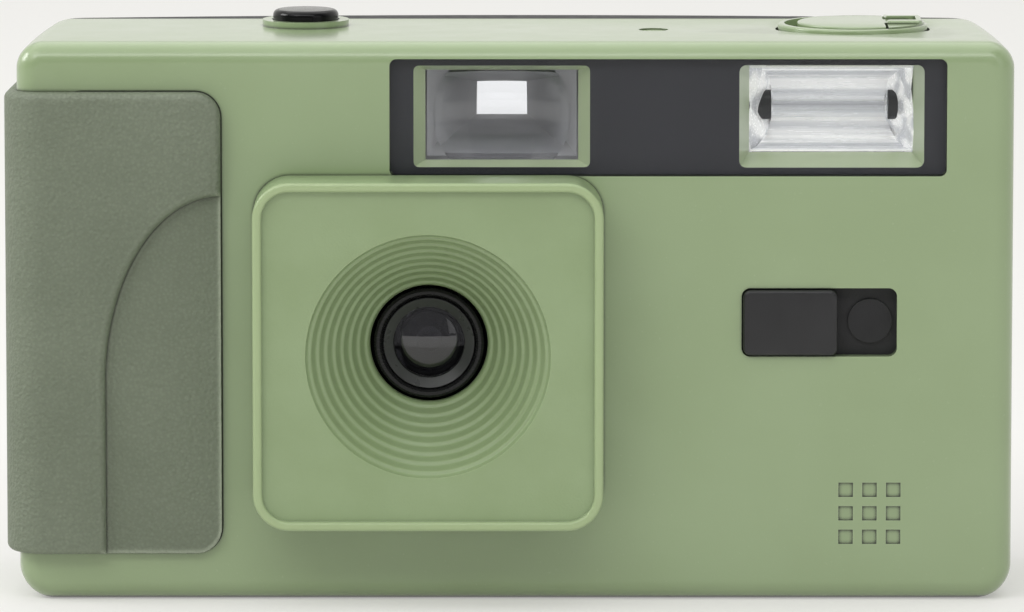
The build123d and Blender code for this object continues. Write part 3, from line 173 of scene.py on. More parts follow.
# Colours that the ground and the room share
sweep_pale = srgb(238, 237, 233)
room_dim = srgb(70, 70, 73)


# Building blocks for the finishes

class Finish:
    """A material under construction: its nodes, and the shader that they feed."""

    def __init__(self, name, colour, roughness, metallic=0.0):
        self.material = bpy.data.materials.new(name)
        self.material.use_nodes = True
        self.tree = self.material.node_tree
        self.shader = self.tree.nodes["Principled BSDF"]
        self.shader.inputs["Base Color"].default_value = colour
        self.shader.inputs["Roughness"].default_value = roughness
        self.shader.inputs["Metallic"].default_value = metallic
        self.place = self.add("ShaderNodeTexCoord").outputs["Object"]

    def add(self, kind, **settings):
        """A new shader node of this kind, with its own settings."""
        node = self.tree.nodes.new(kind)
        for key, value in settings.items():
            setattr(node, key, value)
        return node

    def link(self, output, target):
        """Joins an output to an input."""
        self.tree.links.new(output, target)

    def noise(self, size, detail=4.0, stretch=(1, 1, 1)):
        """Noise whose features are about this size, in metres."""
        node = self.add("ShaderNodeTexNoise")
        node.inputs["Scale"].default_value = 1 / size
        node.inputs["Detail"].default_value = detail
        turn = self.add("ShaderNodeMapping")
        turn.inputs["Scale"].default_value = stretch
        self.link(self.place, turn.inputs["Vector"])
        self.link(turn.outputs["Vector"], node.inputs["Vector"])
        return node.outputs["Fac"]

    def level(self, axis, low, high):
        """0 at one place along an axis and 1 at another, in metres."""
        split = self.add("ShaderNodeSeparateXYZ")
        self.link(self.place, split.inputs[0])
        return self.ramp(split.outputs[axis], low, high)

    def within(self, low, high):
        """1 inside a box of the frame and 0 outside it."""
        fade = 0.1 * mm
        share = 1.0
        for axis, start, end in zip("XYZ", low, high):
            share = self.combine(self.level(axis, start, start + fade), share, "MULTIPLY")
            share = self.combine(self.level(axis, end, end - fade), share, "MULTIPLY")
        return share

    def cells(self, size, feature="F1"):
        """Distance from the middle of rounded cells of about this size."""
        node = self.add("ShaderNodeTexVoronoi", feature=feature)
        node.inputs["Scale"].default_value = 1 / size
        self.link(self.place, node.inputs["Vector"])
        return node.outputs["Distance"]

    def ramp(self, source, low, high, low_value=0.0, high_value=1.0):
        """The source between low and high, spread from low_value to high_value."""
        node = self.add("ShaderNodeMapRange")
        node.inputs["From Min"].default_value = low
        node.inputs["From Max"].default_value = high
        node.inputs["To Min"].default_value = low_value
        node.inputs["To Max"].default_value = high_value
        self.link(source, node.inputs["Value"])
        return node.outputs["Result"]

    def blend(self, share, first, second):
        """First colour where share is 0, second where it is 1."""
        node = self.add("ShaderNodeMix", data_type="RGBA")
        self.link(share, node.inputs["Factor"])
        for source, target in ((first, node.inputs["A"]), (second, node.inputs["B"])):
            if isinstance(source, tuple):
                target.default_value = source
            else:
                self.link(source, target)
        return node.outputs["Result"]

    def combine(self, first, second, operation="ADD"):
        """Two sources, or a source and a number, joined by an operation."""
        node = self.add("ShaderNodeMath", operation=operation)
        for source, target in ((first, node.inputs[0]), (second, node.inputs[1])):
            if isinstance(source, (int, float)):
                target.default_value = source
            else:
                self.link(source, target)
        return node.outputs[0]

    def edges(self, reach):
        """1 on edges and 0 elsewhere, where the rounded normal leaves the true one."""
        soft = self.add("ShaderNodeBevel", samples=4)
        soft.inputs["Radius"].default_value = reach
        true = self.add("ShaderNodeNewGeometry")
        dot = self.add("ShaderNodeVectorMath", operation="DOT_PRODUCT")
        self.link(soft.outputs["Normal"], dot.inputs[0])
        self.link(true.outputs["Normal"], dot.inputs[1])
        return self.ramp(dot.outputs["Value"], 0.98, 0.80)

    def crevice_shade(self, reach):
        """How much painted shade falls in the joints and hollows where this piece meets another, read
        from ambient occlusion: 1 there, fading out within this reach.
        """
        node = self.add("ShaderNodeAmbientOcclusion", samples=6)
        node.inputs["Distance"].default_value = reach
        return self.ramp(node.outputs["AO"], 0.88, 0.5)

    def let_light_through(self):
        """Shadow rays pass straight through, so that what lies behind clear plastic is lit."""
        mix = self.add("ShaderNodeMixShader")
        self.link(self.add("ShaderNodeLightPath").outputs["Is Shadow Ray"], mix.inputs[0])
        self.link(self.shader.outputs[0], mix.inputs[1])
        self.link(self.add("ShaderNodeBsdfTransparent").outputs[0], mix.inputs[2])
        self.link(mix.outputs[0], self.tree.nodes["Material Output"].inputs["Surface"])

    def colour(self, source):
        """Takes the base colour from a source."""
        self.link(source, self.shader.inputs["Base Color"])

    def rough(self, source):
        """Takes the roughness from a source."""
        self.link(source, self.shader.inputs["Roughness"])

    def bump(self, height, depth, edge=0.0):
        """Relief of this depth in metres, over edges rounded by a small radius."""
        node = self.add("ShaderNodeBump")
        node.inputs["Strength"].default_value = 1.0
        node.inputs["Distance"].default_value = depth
        self.link(height, node.inputs["Height"])
        if edge:
            soft = self.add("ShaderNodeBevel", samples=4)
            soft.inputs["Radius"].default_value = edge
            self.link(soft.outputs["Normal"], node.inputs["Normal"])
        self.link(node.outputs["Normal"], self.shader.inputs["Normal"])

    def set(self, **sockets):
        """Sets even values on the shader's sockets, with _ for a space in a socket's name."""
        for name, value in sockets.items():
            self.shader.inputs[name.replace("_", " ")].default_value = value


# The finishes

def moulded_green():
    """Satin moulded plastic: faint mottling, edges painted lighter (partly wear, partly a painted
    highlight), painted shade in the joints, and window frames painted paler as painted light.
    """
    finish = Finish("moulded_green", srgb(144, 163, 121), 0.34)
    finish.set(Coat_Weight=1.0, Coat_Roughness=0.2)
    tint = finish.ramp(finish.noise(18 * mm, 2), 0.35, 0.65)
    body = finish.blend(tint, srgb(142, 161, 119), srgb(146, 165, 124))
    specks = finish.ramp(finish.noise(0.35 * mm, 2), 0.70, 0.76)
    body = finish.blend(finish.combine(specks, 0.18, "MULTIPLY"), body, srgb(176, 192, 158))
    # Edges painted lighter: partly wear, partly a painted highlight
    edge = finish.combine(finish.edges(0.25 * mm), 0.35, "MULTIPLY")
    body = finish.blend(edge, body, srgb(176, 193, 155))
    # Painted shade: the joints and hollows are painted dark
    body = finish.blend(finish.crevice_shade(0.5 * mm), body, srgb(62, 70, 52))
    # Painted light: the frames behind the window strip are painted paler, standing for the light that
    # falls on them
    frame_light = finish.within((strip_low.x, strip_high.y, strip_low.z),
                           (strip_high.x, front + frame_light_depth, strip_high.z))
    finish.colour(finish.blend(frame_light, body, srgb(173, 188, 152)))
    finish.rough(finish.ramp(finish.noise(5 * mm, 3), 0.3, 0.7, 0.30, 0.38))
    finish.bump(finish.noise(0.22 * mm, 3), 0.008 * mm, 0.12 * mm)
    return finish.material


def grainy_green():
    """The shroud: the same plastic with a light spark-eroded grain, a painted highlight on its crests
    and edges, painted shade in its joints, and a rim painted paler as painted light.
    """
    finish = Finish("grainy_green", srgb(144, 163, 121), 0.42)
    finish.set(Coat_Weight=0.3, Coat_Roughness=0.3)
    tint = finish.ramp(finish.noise(9 * mm, 3), 0.35, 0.65)
    body = finish.blend(tint, srgb(140, 159, 117), srgb(145, 164, 123))
    # Painted highlight: the crests and edges are painted lighter
    edge = finish.combine(finish.edges(0.25 * mm), 0.4, "MULTIPLY")
    body = finish.blend(edge, body, srgb(184, 202, 158))
    # Painted shade: the joints and hollows are painted dark
    joint_shade = finish.combine(finish.crevice_shade(0.3 * mm), 0.3, "MULTIPLY")
    body = finish.blend(joint_shade, body, srgb(78, 90, 66))
    # Painted light: the rim, nearest the front, is painted paler
    rim = finish.level("Y", shroud_low.y + rim_light_fade, shroud_low.y)
    rim = finish.combine(rim, 0.8, "MULTIPLY")
    finish.colour(finish.blend(rim, body, srgb(166, 184, 138)))
    finish.rough(finish.ramp(finish.noise(3 * mm, 3), 0.3, 0.7, 0.3, 0.4))
    finish.bump(finish.noise(0.3 * mm, 4), 0.03 * mm)
    return finish.material


def grip_rubber():
    """Matt pebbled rubber: small rounded cells with a finer grain, a painted highlight on its rounded
    edges, and painted shade where it meets the shell.
    """
    finish = Finish("grip_rubber", srgb(116, 125, 106), 0.6)
    tint = finish.ramp(finish.noise(14 * mm, 4), 0.35, 0.65)
    body = finish.blend(tint, srgb(114, 123, 104), srgb(121, 130, 111))
    dark = finish.ramp(finish.cells(0.45 * mm), 0.1, 0.6)
    body = finish.blend(finish.combine(dark, 0.25, "MULTIPLY"), body, srgb(84, 92, 76))
    # Painted highlight: the rounded edges are painted lighter
    edge = finish.combine(finish.edges(1.1 * mm), 0.75, "MULTIPLY")
    body = finish.blend(edge, body, srgb(180, 188, 168))
    # Painted shade: dark where the rubber meets the shell
    finish.colour(finish.blend(finish.crevice_shade(0.6 * mm), body, srgb(48, 53, 42)))
    finish.rough(finish.ramp(finish.noise(2 * mm, 3), 0.3, 0.7, 0.5, 0.64))
    height = finish.combine(finish.cells(0.5 * mm), finish.noise(0.25 * mm, 3))
    finish.bump(height, 0.1 * mm, 0.15 * mm)
    return finish.material


def matt_black(name="matt_black", grey=34, roughness=0.6, grain=0.02 * mm):
    """Black or grey moulded plastic with a fine even grain; its edges are painted lighter, partly as
    wear and partly as a painted highlight.
    """
    finish = Finish(name, srgb(grey, grey, grey + 2), roughness)
    tint = finish.ramp(finish.noise(6 * mm, 4), 0.35, 0.65)
    body = finish.blend(tint, srgb(grey - 2, grey - 2, grey), srgb(grey + 4, grey + 4, grey + 6))
    # Edges painted lighter: partly wear, partly a painted highlight
    edge = finish.combine(finish.edges(0.2 * mm), 0.3, "MULTIPLY")
    finish.colour(finish.blend(edge, body, srgb(grey + 34, grey + 34, grey + 36)))
    finish.rough(finish.ramp(finish.noise(1.5 * mm, 3), 0.3, 0.7, roughness - 0.06, roughness + 0.06))
    finish.bump(finish.noise(0.2 * mm, 3), grain, 0.1 * mm)
    return finish.material


def gloss_black(name, grey, roughness=0.16):
    """Polished black plastic with faint rub marks, and edges painted lighter, partly as wear and partly
    as a painted highlight.
    """
    finish = Finish(name, srgb(grey, grey, grey + 1), roughness)
    finish.set(IOR=1.35)
    marks = finish.ramp(finish.noise(0.8 * mm, 5, (1, 6, 6)), 0.55, 0.72, roughness, roughness + 0.12)
    finish.rough(marks)
    # Edges painted lighter: partly wear, partly a painted highlight
    edge = finish.combine(finish.edges(0.2 * mm), 0.35, "MULTIPLY")
    finish.colour(finish.blend(edge, srgb(grey, grey, grey + 1), srgb(grey + 40, grey + 40, grey + 42)))
    finish.bump(finish.noise(1.2 * mm, 2), 0.004 * mm, 0.1 * mm)
    return finish.material


def door_black():
    """The back's skin: dark plastic moulded with a fine leather grain, its edges painted lighter, partly
    as wear and partly as a painted highlight.
    """
    finish = Finish("door_black", srgb(38, 38, 40), 0.5)
    grain = finish.cells(0.9 * mm, "SMOOTH_F1")
    tint = finish.ramp(finish.noise(8 * mm, 3), 0.3, 0.7)
    body = finish.blend(tint, srgb(35, 35, 37), srgb(43, 43, 45))
    # Edges painted lighter: partly wear, partly a painted highlight
    edge = finish.combine(finish.edges(0.2 * mm), 0.35, "MULTIPLY")
    finish.colour(finish.blend(edge, body, srgb(74, 74, 76)))
    finish.rough(finish.ramp(grain, 0.1, 0.6, 0.42, 0.6))
    finish.bump(finish.combine(grain, finish.noise(0.25 * mm, 3)), 0.08 * mm, 0.1 * mm)
    return finish.material


def printed_mask():
    """The dark grey print behind the window strip."""
    finish = Finish("printed_mask", srgb(62, 63, 69), 0.4)
    tint = finish.ramp(finish.noise(20 * mm, 2), 0.3, 0.7)
    finish.colour(finish.blend(tint, srgb(40, 41, 47), srgb(45, 46, 52)))
    finish.rough(finish.ramp(finish.noise(5 * mm, 2), 0.3, 0.7, 0.48, 0.52))
    return finish.material


def clear_plastic(name, tint, index=1.49, mirror=0.2):
    """Clear moulded acrylic or glass with very faint surface waviness."""
    finish = Finish(name, tint, 0.02)
    finish.set(IOR=index, Transmission_Weight=1.0, Specular_IOR_Level=mirror)
    finish.rough(finish.ramp(finish.noise(3 * mm, 4), 0.4, 0.7, 0.02, 0.05))
    finish.bump(finish.noise(9 * mm, 1), 0.004 * mm)
    finish.let_light_through()
    return finish.material


def window_clear(name="window_clear", mirror=0.012):
    """Thin clear plastic or glass: a faint mirror on its face, very slightly wavy."""
    finish = Finish(name, srgb(236, 240, 248), 0.1, 1.0)
    finish.set(Alpha=mirror)
    finish.rough(finish.ramp(finish.noise(4 * mm, 3), 0.3, 0.7, 0.08, 0.12))
    finish.bump(finish.noise(12 * mm, 1), 0.003 * mm)
    return finish.material


def bright_foil(name="bright_foil", metal=0.3, reflection_band_size=1.5 * mm, stretch=(0.01, 1, 1)):
    """Bright foil with soft creases; grey and white bands painted across it stand for its reflections,
    and a faint white glow is painted light that stands for the light it gathers.
    """
    finish = Finish(name, srgb(252, 252, 253), 0.2, metal)
    # Painted light: a faint white glow, though the foil is no lamp
    finish.set(Emission_Color=(1.0, 1.0, 1.0, 1.0), Emission_Strength=0.17)
    finish.rough(finish.ramp(finish.noise(0.8 * mm, 3, (0.2, 3, 3)), 0.3, 0.7, 0.2, 0.3))
    # Painted reflection: grey and white bands
    reflection_band = finish.ramp(finish.noise(reflection_band_size, 1, stretch), 0.40, 0.54)
    finish.colour(finish.blend(reflection_band, srgb(184, 187, 193), srgb(255, 255, 255)))
    finish.bump(finish.noise(1.6 * mm, 3), 0.01 * mm)
    return finish.material


def steel():
    """Drawn and rolled steel: fine lines along the piece, faint stains."""
    finish = Finish("steel", srgb(176, 176, 174), 0.3, 1.0)
    stain = finish.ramp(finish.noise(3 * mm, 4), 0.4, 0.7)
    finish.colour(finish.blend(stain, srgb(184, 184, 182), srgb(150, 149, 146)))
    finish.rough(finish.ramp(finish.noise(0.3 * mm, 4, (1, 1, 12)), 0.3, 0.7, 0.22, 0.42))
    finish.bump(finish.noise(0.15 * mm, 2, (1, 1, 8)), 0.004 * mm)
    return finish.material


def blackened_metal():
    """Blackened sheet metal, its edges painted paler, partly as wear and partly as a painted highlight.
    """
    finish = Finish("blackened_metal", srgb(30, 30, 31), 0.5)
    # Edges painted paler: partly wear, partly a painted highlight
    wear_and_sheen = finish.combine(finish.edges(0.15 * mm), 0.6, "MULTIPLY")
    finish.colour(finish.blend(wear_and_sheen, srgb(30, 30, 31), srgb(120, 120, 118)))
    finish.rough(finish.ramp(finish.noise(1 * mm, 4), 0.3, 0.7, 0.42, 0.6))
    finish.bump(finish.noise(0.12 * mm, 3), 0.01 * mm)
    return finish.material


def board_finish():
    """Brown resin board with a woven ground."""
    finish = Finish("board_finish", srgb(150, 112, 62), 0.45)
    weave = finish.ramp(finish.noise(0.35 * mm, 2, (1, 1, 5)), 0.4, 0.6)
    finish.colour(finish.blend(weave, srgb(140, 103, 56), srgb(158, 120, 70)))
    finish.bump(finish.noise(0.3 * mm, 2), 0.01 * mm)
    return finish.material


def wrapped(name, first, second, roughness):
    """A smooth skin, such as a wrapped can's: two close colours, with soft wrinkles."""
    finish = Finish(name, first, roughness)
    finish.colour(finish.blend(finish.ramp(finish.noise(4 * mm, 4), 0.35, 0.65), first, second))
    finish.rough(finish.ramp(finish.noise(2 * mm, 3), 0.3, 0.7, roughness - 0.05, roughness + 0.1))
    finish.bump(finish.noise(2.5 * mm, 3), 0.02 * mm)
    return finish.material


def seal_foam():
    """Dark open foam."""
    finish = Finish("seal_foam", srgb(32, 32, 33), 0.95)
    pores = finish.ramp(finish.cells(0.3 * mm), 0.0, 0.5)
    finish.colour(finish.blend(pores, srgb(18, 18, 18), srgb(44, 44, 45)))
    finish.bump(finish.cells(0.3 * mm), 0.06 * mm)
    return finish.material


green = moulded_green()
shroud_green = grainy_green()
rubber = grip_rubber()
black = matt_black()
door_skin = door_black()
cap_black = matt_black("cap_black", 38, 0.4, 0.01 * mm)
bed_black = matt_black("bed_black", 32, 0.55)
dull_black = matt_black("dull_black", 20, 0.8)
gloss = gloss_black("gloss_black", 14)
ring_black = gloss_black("ring_black", 32, 0.25)
mask = printed_mask()
clear = clear_plastic("clear_plastic", (0.96, 0.97, 1.0, 1.0))
lens_glass = clear_plastic("lens_glass", (0.3, 0.3, 0.33, 1.0), index=1.7, mirror=0.5)
# Painted shade: the dark sheet round the rubber cover
seam_shade = wrapped("seam_shade", srgb(46, 52, 40), srgb(56, 62, 48), 0.8)
barrel_grey = matt_black("barrel_grey", 58, 0.3, 0.004 * mm)
# Painted light: the viewfinder tunnel's walls are painted pale grey, standing for the light and
# reflection seen through the finder
tunnel_painted_light = matt_black("tunnel_painted_light", 205, 0.7, 0.01 * mm)
window = window_clear()
tube_glass = window_clear("tube_glass", 0.14)
foil = bright_foil()
flap_foil = bright_foil("flap_foil", 0.25, 2.6 * mm, (1, 1, 1))
bright_steel = steel()
blackened = blackened_metal()
resin_board = board_finish()
can_skin = wrapped("can_skin", srgb(38, 44, 66), srgb(46, 52, 76), 0.35)
cell_skin = wrapped("cell_skin", srgb(186, 184, 178), srgb(200, 198, 192), 0.4)
ferrite = wrapped("ferrite", srgb(70, 66, 62), srgb(84, 78, 72), 0.6)
foam = seal_foam()
dial_white = wrapped("dial_white", srgb(228, 228, 224), srgb(236, 236, 232), 0.45)
number_black = matt_black("number_black", 24, 0.5, 0.005 * mm)
lamp_green = wrapped("lamp_green", srgb(132, 152, 110), srgb(140, 160, 118), 0.25)

node_finish = {
    green: ["front_shell", "rewind_knob", "crank_arm"],
    shroud_green: ["lens_shroud"],
    rubber: ["grip_cover"],
    gloss: ["shutter_button"],
    ring_black: ["lens_retaining_ring"],
    cap_black: ["flash_switch", "door_latch", "rewind_release"],
    bed_black: ["switch_bed"],
    door_skin: ["rear_door"],
    black: ["rear_frame", "advance_wheel", "battery_door", "lens_holder", "sprocket",
            "take_up_spool", "release_lever", "tube_ends", "battery_tube"],
    dull_black: ["light_box", "cassette_chamber", "take_up_chamber"],
    tunnel_painted_light: ["viewfinder_tunnel"],
    mask: ["window_mask"],
    window: ["window_strip", "counter_window", "cassette_window"],
    clear: ["rear_lens", "viewfinder_objective", "viewfinder_eyepiece"],
    lens_glass: ["front_lens"],
    tube_glass: ["flash_tube"],
    foil: ["flash_reflector"],
    bright_steel: ["hinge_pins", "pressure_spring", "battery_contacts", "lid_pin",
                   "housing_screws"],
    blackened: ["shutter_plate", "shutter_blade", "aperture_stop", "pressure_plate"],
    resin_board: ["flash_board"],
    can_skin: ["flash_capacitor"],
    cell_skin: ["battery"],
    ferrite: ["flash_transformer"],
    foam: ["light_seal"],
    dial_white: ["counter_dial"],
    lamp_green: ["ready_lamp"],
}


def smooth_node(node):
    """Joins a node's loose triangles and shades its curves smooth, leaving sharp edges."""
    for polygon in node.data.polygons:
        polygon.use_smooth = True
    weld = node.modifiers.new("weld", "WELD")
    weld.merge_threshold = weld_reach
    split = node.modifiers.new("sharp_edges", "EDGE_SPLIT")
    split.split_angle = sharp_angle


for material, names in node_finish.items():
    for name in names:
        nodes[name].data.materials.clear()
        nodes[name].data.materials.append(material)
        smooth_node(nodes[name])


# New pieces

def begin():
    """Leaves nothing selected, so that an operator acts on the new piece alone."""
    bpy.ops.object.select_all(action="DESELECT")


def edit():
    """Settles the new piece at the origin and opens all of it for editing."""
    bpy.ops.object.transform_apply(location=True, rotation=True, scale=True)
    bpy.ops.object.mode_set(mode="EDIT")
    bpy.ops.mesh.select_all(action="SELECT")


def choose(wanted):
    """In edit mode, selects the vertices whose place passes a test, and all that they span."""
    bpy.ops.mesh.select_mode(type="VERT")
    bpy.ops.mesh.select_all(action="DESELECT")
    mesh = bmesh.from_edit_mesh(bpy.context.object.data)
    for vertex in mesh.verts:
        vertex.select = wanted(vertex.co)
    mesh.select_flush(True)
    bmesh.update_edit_mesh(bpy.context.object.data)


def carry(offset):
    """Extrudes the selected edges by an offset."""
    bpy.ops.mesh.extrude_edges_move(TRANSFORM_OT_translate={"value": offset})


def push(offset):
    """Extrudes the selected faces by an offset."""
    bpy.ops.mesh.extrude_region_move(TRANSFORM_OT_translate={"value": offset})


def apply(kind, **settings):
    """Adds a modifier to the new piece and applies it."""
    piece = bpy.context.object
    modifier = piece.modifiers.new(kind.lower(), kind)
    for key, value in settings.items():
        setattr(modifier, key, value)
    bpy.ops.object.modifier_apply(modifier=modifier.name)


def done(name, material, body, smooth=30):
    """Names the new piece, gives it its finish and the body it rides on, and shades it
    smooth where faces meet at less than an angle in degrees."""
    piece = bpy.context.object
    if piece.mode == "EDIT":
        bpy.ops.object.mode_set(mode="OBJECT")
    piece.name = name
    piece.data.materials.clear()
    piece.data.materials.append(material)
    bpy.ops.object.shade_smooth_by_angle(angle=radians(smooth))
    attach(piece, body)
    return piece


def near(value, target):
    """True where two places along an axis agree."""
    return abs(value - target) < 0.01 * mm


def from_lens(place):
    """Distance of a place from the lens's axis."""
    return hypot(place.x - lens_x, place.z - lens_z)


def ring_profile(field_y):
    """Radius and Y from the flat round the mouth, down the waved steps, to the back of the throat."""
    fall = front + throat_depth - field_y
    profile = [(ring_mouth + mouth_land, field_y)]
    for point in range(ring_count * ring_points + 1):
        share = point / (ring_count * ring_points)
        turn = 2 * pi * ring_count * share
        depth = share + ring_wave * sin(turn) / (2 * pi * ring_count)
        profile.append((ring_mouth + (ring_throat - ring_mouth) * share, field_y + fall * depth))
    profile.append((ring_throat, front + throat_depth + neck_length))
    return profile


def shroud_frame(rim_y):
    """The square wall, its rounded rim and the step down to the field, which is left open."""
    bpy.ops.mesh.primitive_plane_add(size=shroud_side, location=(lens_x, front, lens_z),
                                     rotation=(radians(90), 0, 0))
    edit()
    bpy.ops.mesh.bevel(offset=shroud_corner, segments=corner_segments, affect="VERTICES")
    push((0, rim_y - front, 0))
    bpy.ops.mesh.inset(thickness=rim_width)
    push((0, field_sink, 0))
    bpy.ops.mesh.delete(type="ONLY_FACE")
    choose(lambda place: near(place.y, front))
    bpy.ops.mesh.delete(type="ONLY_FACE")
    choose(lambda place: near(place.y, rim_y))
    bpy.ops.mesh.region_to_loop()
    bpy.ops.mesh.bevel(offset=rim_edge, segments=rim_segments, affect="EDGES")


def shroud_rings(field_y):
    """The rings and the throat: one circle, carried inwards along the profile."""
    profile = ring_profile(field_y)
    bpy.ops.mesh.primitive_circle_add(vertices=ring_segments, radius=profile[0][0],
                                      location=(lens_x, field_y, lens_z), rotation=(radians(90), 0, 0))
    for (radius, y), (next_radius, next_y) in zip(profile, profile[1:]):
        carry((0, next_y - y, 0))
        growth = next_radius / radius
        bpy.ops.transform.resize(value=(growth, 1, growth), center_override=(lens_x, next_y, lens_z))


def shroud():
    """The square lens shroud, with softly rounded rings and rim."""
    begin()
    rim_y = shroud_low.y
    field_y = rim_y + field_sink
    shroud_frame(rim_y)
    shroud_rings(field_y)
    land = ring_mouth + mouth_land / 2
    choose(lambda place: near(place.y, field_y) and from_lens(place) > land)
    bpy.ops.mesh.fill()
    bpy.ops.mesh.select_all(action="SELECT")
    bpy.ops.mesh.normals_make_consistent(inside=False)
    bpy.ops.object.mode_set(mode="OBJECT")
    apply("BEVEL", width=mouth_edge, segments=mouth_segments, limit_method="ANGLE",
          angle_limit=mouth_angle)
    apply("SOLIDIFY", thickness=shroud_wall, offset=-1.0)
    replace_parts(done("shroud", shroud_green, "camera"), "lens_shroud")


def grip_seam_shade():
    """A dark sheet round the rubber cover where it meets the shell: painted shade in the joint."""
    begin()
    low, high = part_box("grip_cover")
    left, right = shell_low.x + seam_start, high.x + seam_width
    bottom, top = low.z - seam_width, high.z + seam_width
    bpy.ops.mesh.primitive_plane_add(size=1, rotation=(radians(90), 0, 0))
    bpy.context.object.scale = (right - left, top - bottom, 1)
    bpy.context.object.location = ((left + right) / 2, front - seam_lift, (bottom + top) / 2)
    edit()
    bpy.ops.mesh.bevel(offset=seam_corner, segments=seam_segments, affect="VERTICES")
    bpy.ops.object.mode_set(mode="OBJECT")
    apply("SOLIDIFY", thickness=seam_lift, offset=0.0)
    done("grip_seam_shade", seam_shade, "camera")


def barrel_ring():
    """The blank satin cone between the lens's edge and its retaining ring."""
    begin()
    ring_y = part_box("lens_retaining_ring")[0].y + barrel_sink
    glass_y = ring_y + barrel_depth
    middle = (lens_x, (ring_y + glass_y) / 2, lens_z)
    bpy.ops.mesh.primitive_cone_add(vertices=barrel_segments, radius1=barrel_inner, radius2=barrel_outer,
                                    depth=barrel_depth, end_fill_type="NOTHING", location=middle,
                                    rotation=(radians(90), 0, 0))
    edit()
    bpy.ops.object.mode_set(mode="OBJECT")
    apply("SOLIDIFY", thickness=barrel_sheet, offset=0.0)
    done("barrel_ring", barrel_grey, "camera")


def trough_edge(turn):
    """Y, Z and width of the trough where its side view's half ellipse has turned by degrees."""
    y = trough_depth * sin(radians(turn))
    z = -trough_height / 2 * cos(radians(turn))
    width = trough_width + (trough_rear_width - trough_width) * y / trough_depth
    return front + trough_sink + y, flash_z + z, width


def flash_trough():
    """The faceted foil trough behind the tube."""
    begin()
    bpy.ops.mesh.primitive_grid_add(x_subdivisions=1, y_subdivisions=trough_facets, size=1)
    edit()
    for row in range(trough_facets + 1):
        level = row / trough_facets - 0.5
        y, z, width = trough_edge(180 * row / trough_facets)
        # A row still to be placed lies flat, a metre wide.
        choose(lambda place: abs(place.y - level) < 1e-4 and abs(place.z) < 1e-4 and abs(place.x) > 0.4)
        bpy.ops.transform.resize(value=(width, 1, 1), center_override=(0, level, 0))
        bpy.ops.transform.translate(value=(flash_x, y - level, z))
    bpy.ops.object.mode_set(mode="OBJECT")
    apply("SOLIDIFY", thickness=trough_sheet, offset=1.0)
    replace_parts(done("flash_trough", foil, "camera", trough_smooth), "flash_reflector")


def creased_flap(side):
    """A half-oval end flap of thin foil, creased into flat facets, closing one end of the trough."""
    begin()
    slant = atan2((trough_width - trough_rear_width) / 2, trough_depth)
    bpy.ops.mesh.primitive_circle_add(vertices=flap_spokes, radius=1, fill_type="TRIFAN",
                                      rotation=(0, radians(90), 0))
    edit()
    choose(lambda place: place.y < -0.01)
    bpy.ops.mesh.delete(type="VERT")
    bpy.ops.mesh.select_all(action="SELECT")
    bpy.ops.mesh.subdivide(number_cuts=1)
    reach = trough_depth / cos(slant) + flap_lap
    bpy.ops.transform.resize(value=(1, reach, trough_height / 2 + flap_lap), center_override=(0, 0, 0))
    bpy.ops.transform.vertex_random(offset=flap_crease, uniform=0.5, normal=0.0, seed=flap_seed + side)
    bpy.ops.transform.rotate(value=-side * slant, orient_axis="Z", center_override=(0, 0, 0))
    bpy.ops.transform.translate(value=(flash_x + side * trough_width / 2, front + trough_sink, flash_z))
    bpy.ops.object.mode_set(mode="OBJECT")
    apply("SOLIDIFY", thickness=flap_sheet, offset=0.0)
    done("foil_flap_1" if side < 0 else "foil_flap_2", flap_foil, "camera", flap_smooth)


def button_coil():
    """The coil under the button, built at its resting length; the real one shortens as the button goes
    down.
    """
    begin()
    low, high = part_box("button_spring")
    reach = (high.x - low.x) / 2 - coil_wire
    rise = high.z - low.z - 2 * coil_wire
    bpy.ops.mesh.primitive_circle_add(vertices=wire_segments, radius=coil_wire, location=(reach, 0, 0),
                                      rotation=(radians(90), 0, 0))
    edit()
    bpy.ops.object.mode_set(mode="OBJECT")
    apply("SCREW", screw_offset=rise / coil_turns, iterations=coil_turns, steps=coil_steps,
          render_steps=coil_steps)
    middle = (low + high) / 2
    bpy.context.object.location = (middle.x, middle.y, low.z + coil_wire)
    edit()
    bpy.ops.mesh.fill_holes(sides=0)
    bpy.ops.mesh.normals_make_consistent(inside=False)
    coil = done("button_coil", bright_steel, "camera")
    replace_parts(coil, "button_spring")
    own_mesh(coil)


def dial_numbers():
    """Plain numbers round the counter's drum, one for every fourth frame."""
    low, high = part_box("counter_dial")
    axis_x, axis_y = (low.x + high.x) / 2, (low.y + high.y) / 2
    radius = (high.x - low.x) / 2
    for place in range(number_count):
        begin()
        bpy.ops.object.text_add()
        text = bpy.context.object
        text.data.body = str(number_step * place)
        text.data.size = number_size
        text.data.align_x = "CENTER"
        text.data.align_y = "CENTER"
        text.data.extrude = number_relief
        turn = radians(360 / number_count * place)
        text.rotation_euler = (radians(90), 0, turn + radians(180))
        text.location = (axis_x - radius * sin(turn), axis_y + radius * cos(turn), high.z - number_drop)
        bpy.ops.object.convert(target="MESH")
        bpy.ops.object.transform_apply(location=True, rotation=True, scale=True)
        done(f"frame_number_{number_step * place}", number_black, "counter_dial")


shroud()
grip_seam_shade()
barrel_ring()
flash_trough()
creased_flap(-1)
creased_flap(1)
button_coil()
dial_numbers()


# Floor, backdrop, light and viewpoint

def background_rays(tree):
    """1 for the rays that see the background as it is: straight, mirrored or through glass."""
    paths = tree.nodes.new("ShaderNodeLightPath")
    seen = paths.outputs["Is Camera Ray"]
    for name in ("Is Glossy Ray", "Is Transmission Ray"):
        either = tree.nodes.new("ShaderNodeMath")
        either.operation = "MAXIMUM"
        tree.links.new(seen, either.inputs[0])
        tree.links.new(paths.outputs[name], either.inputs[1])
        seen = either.outputs[0]
    return seen


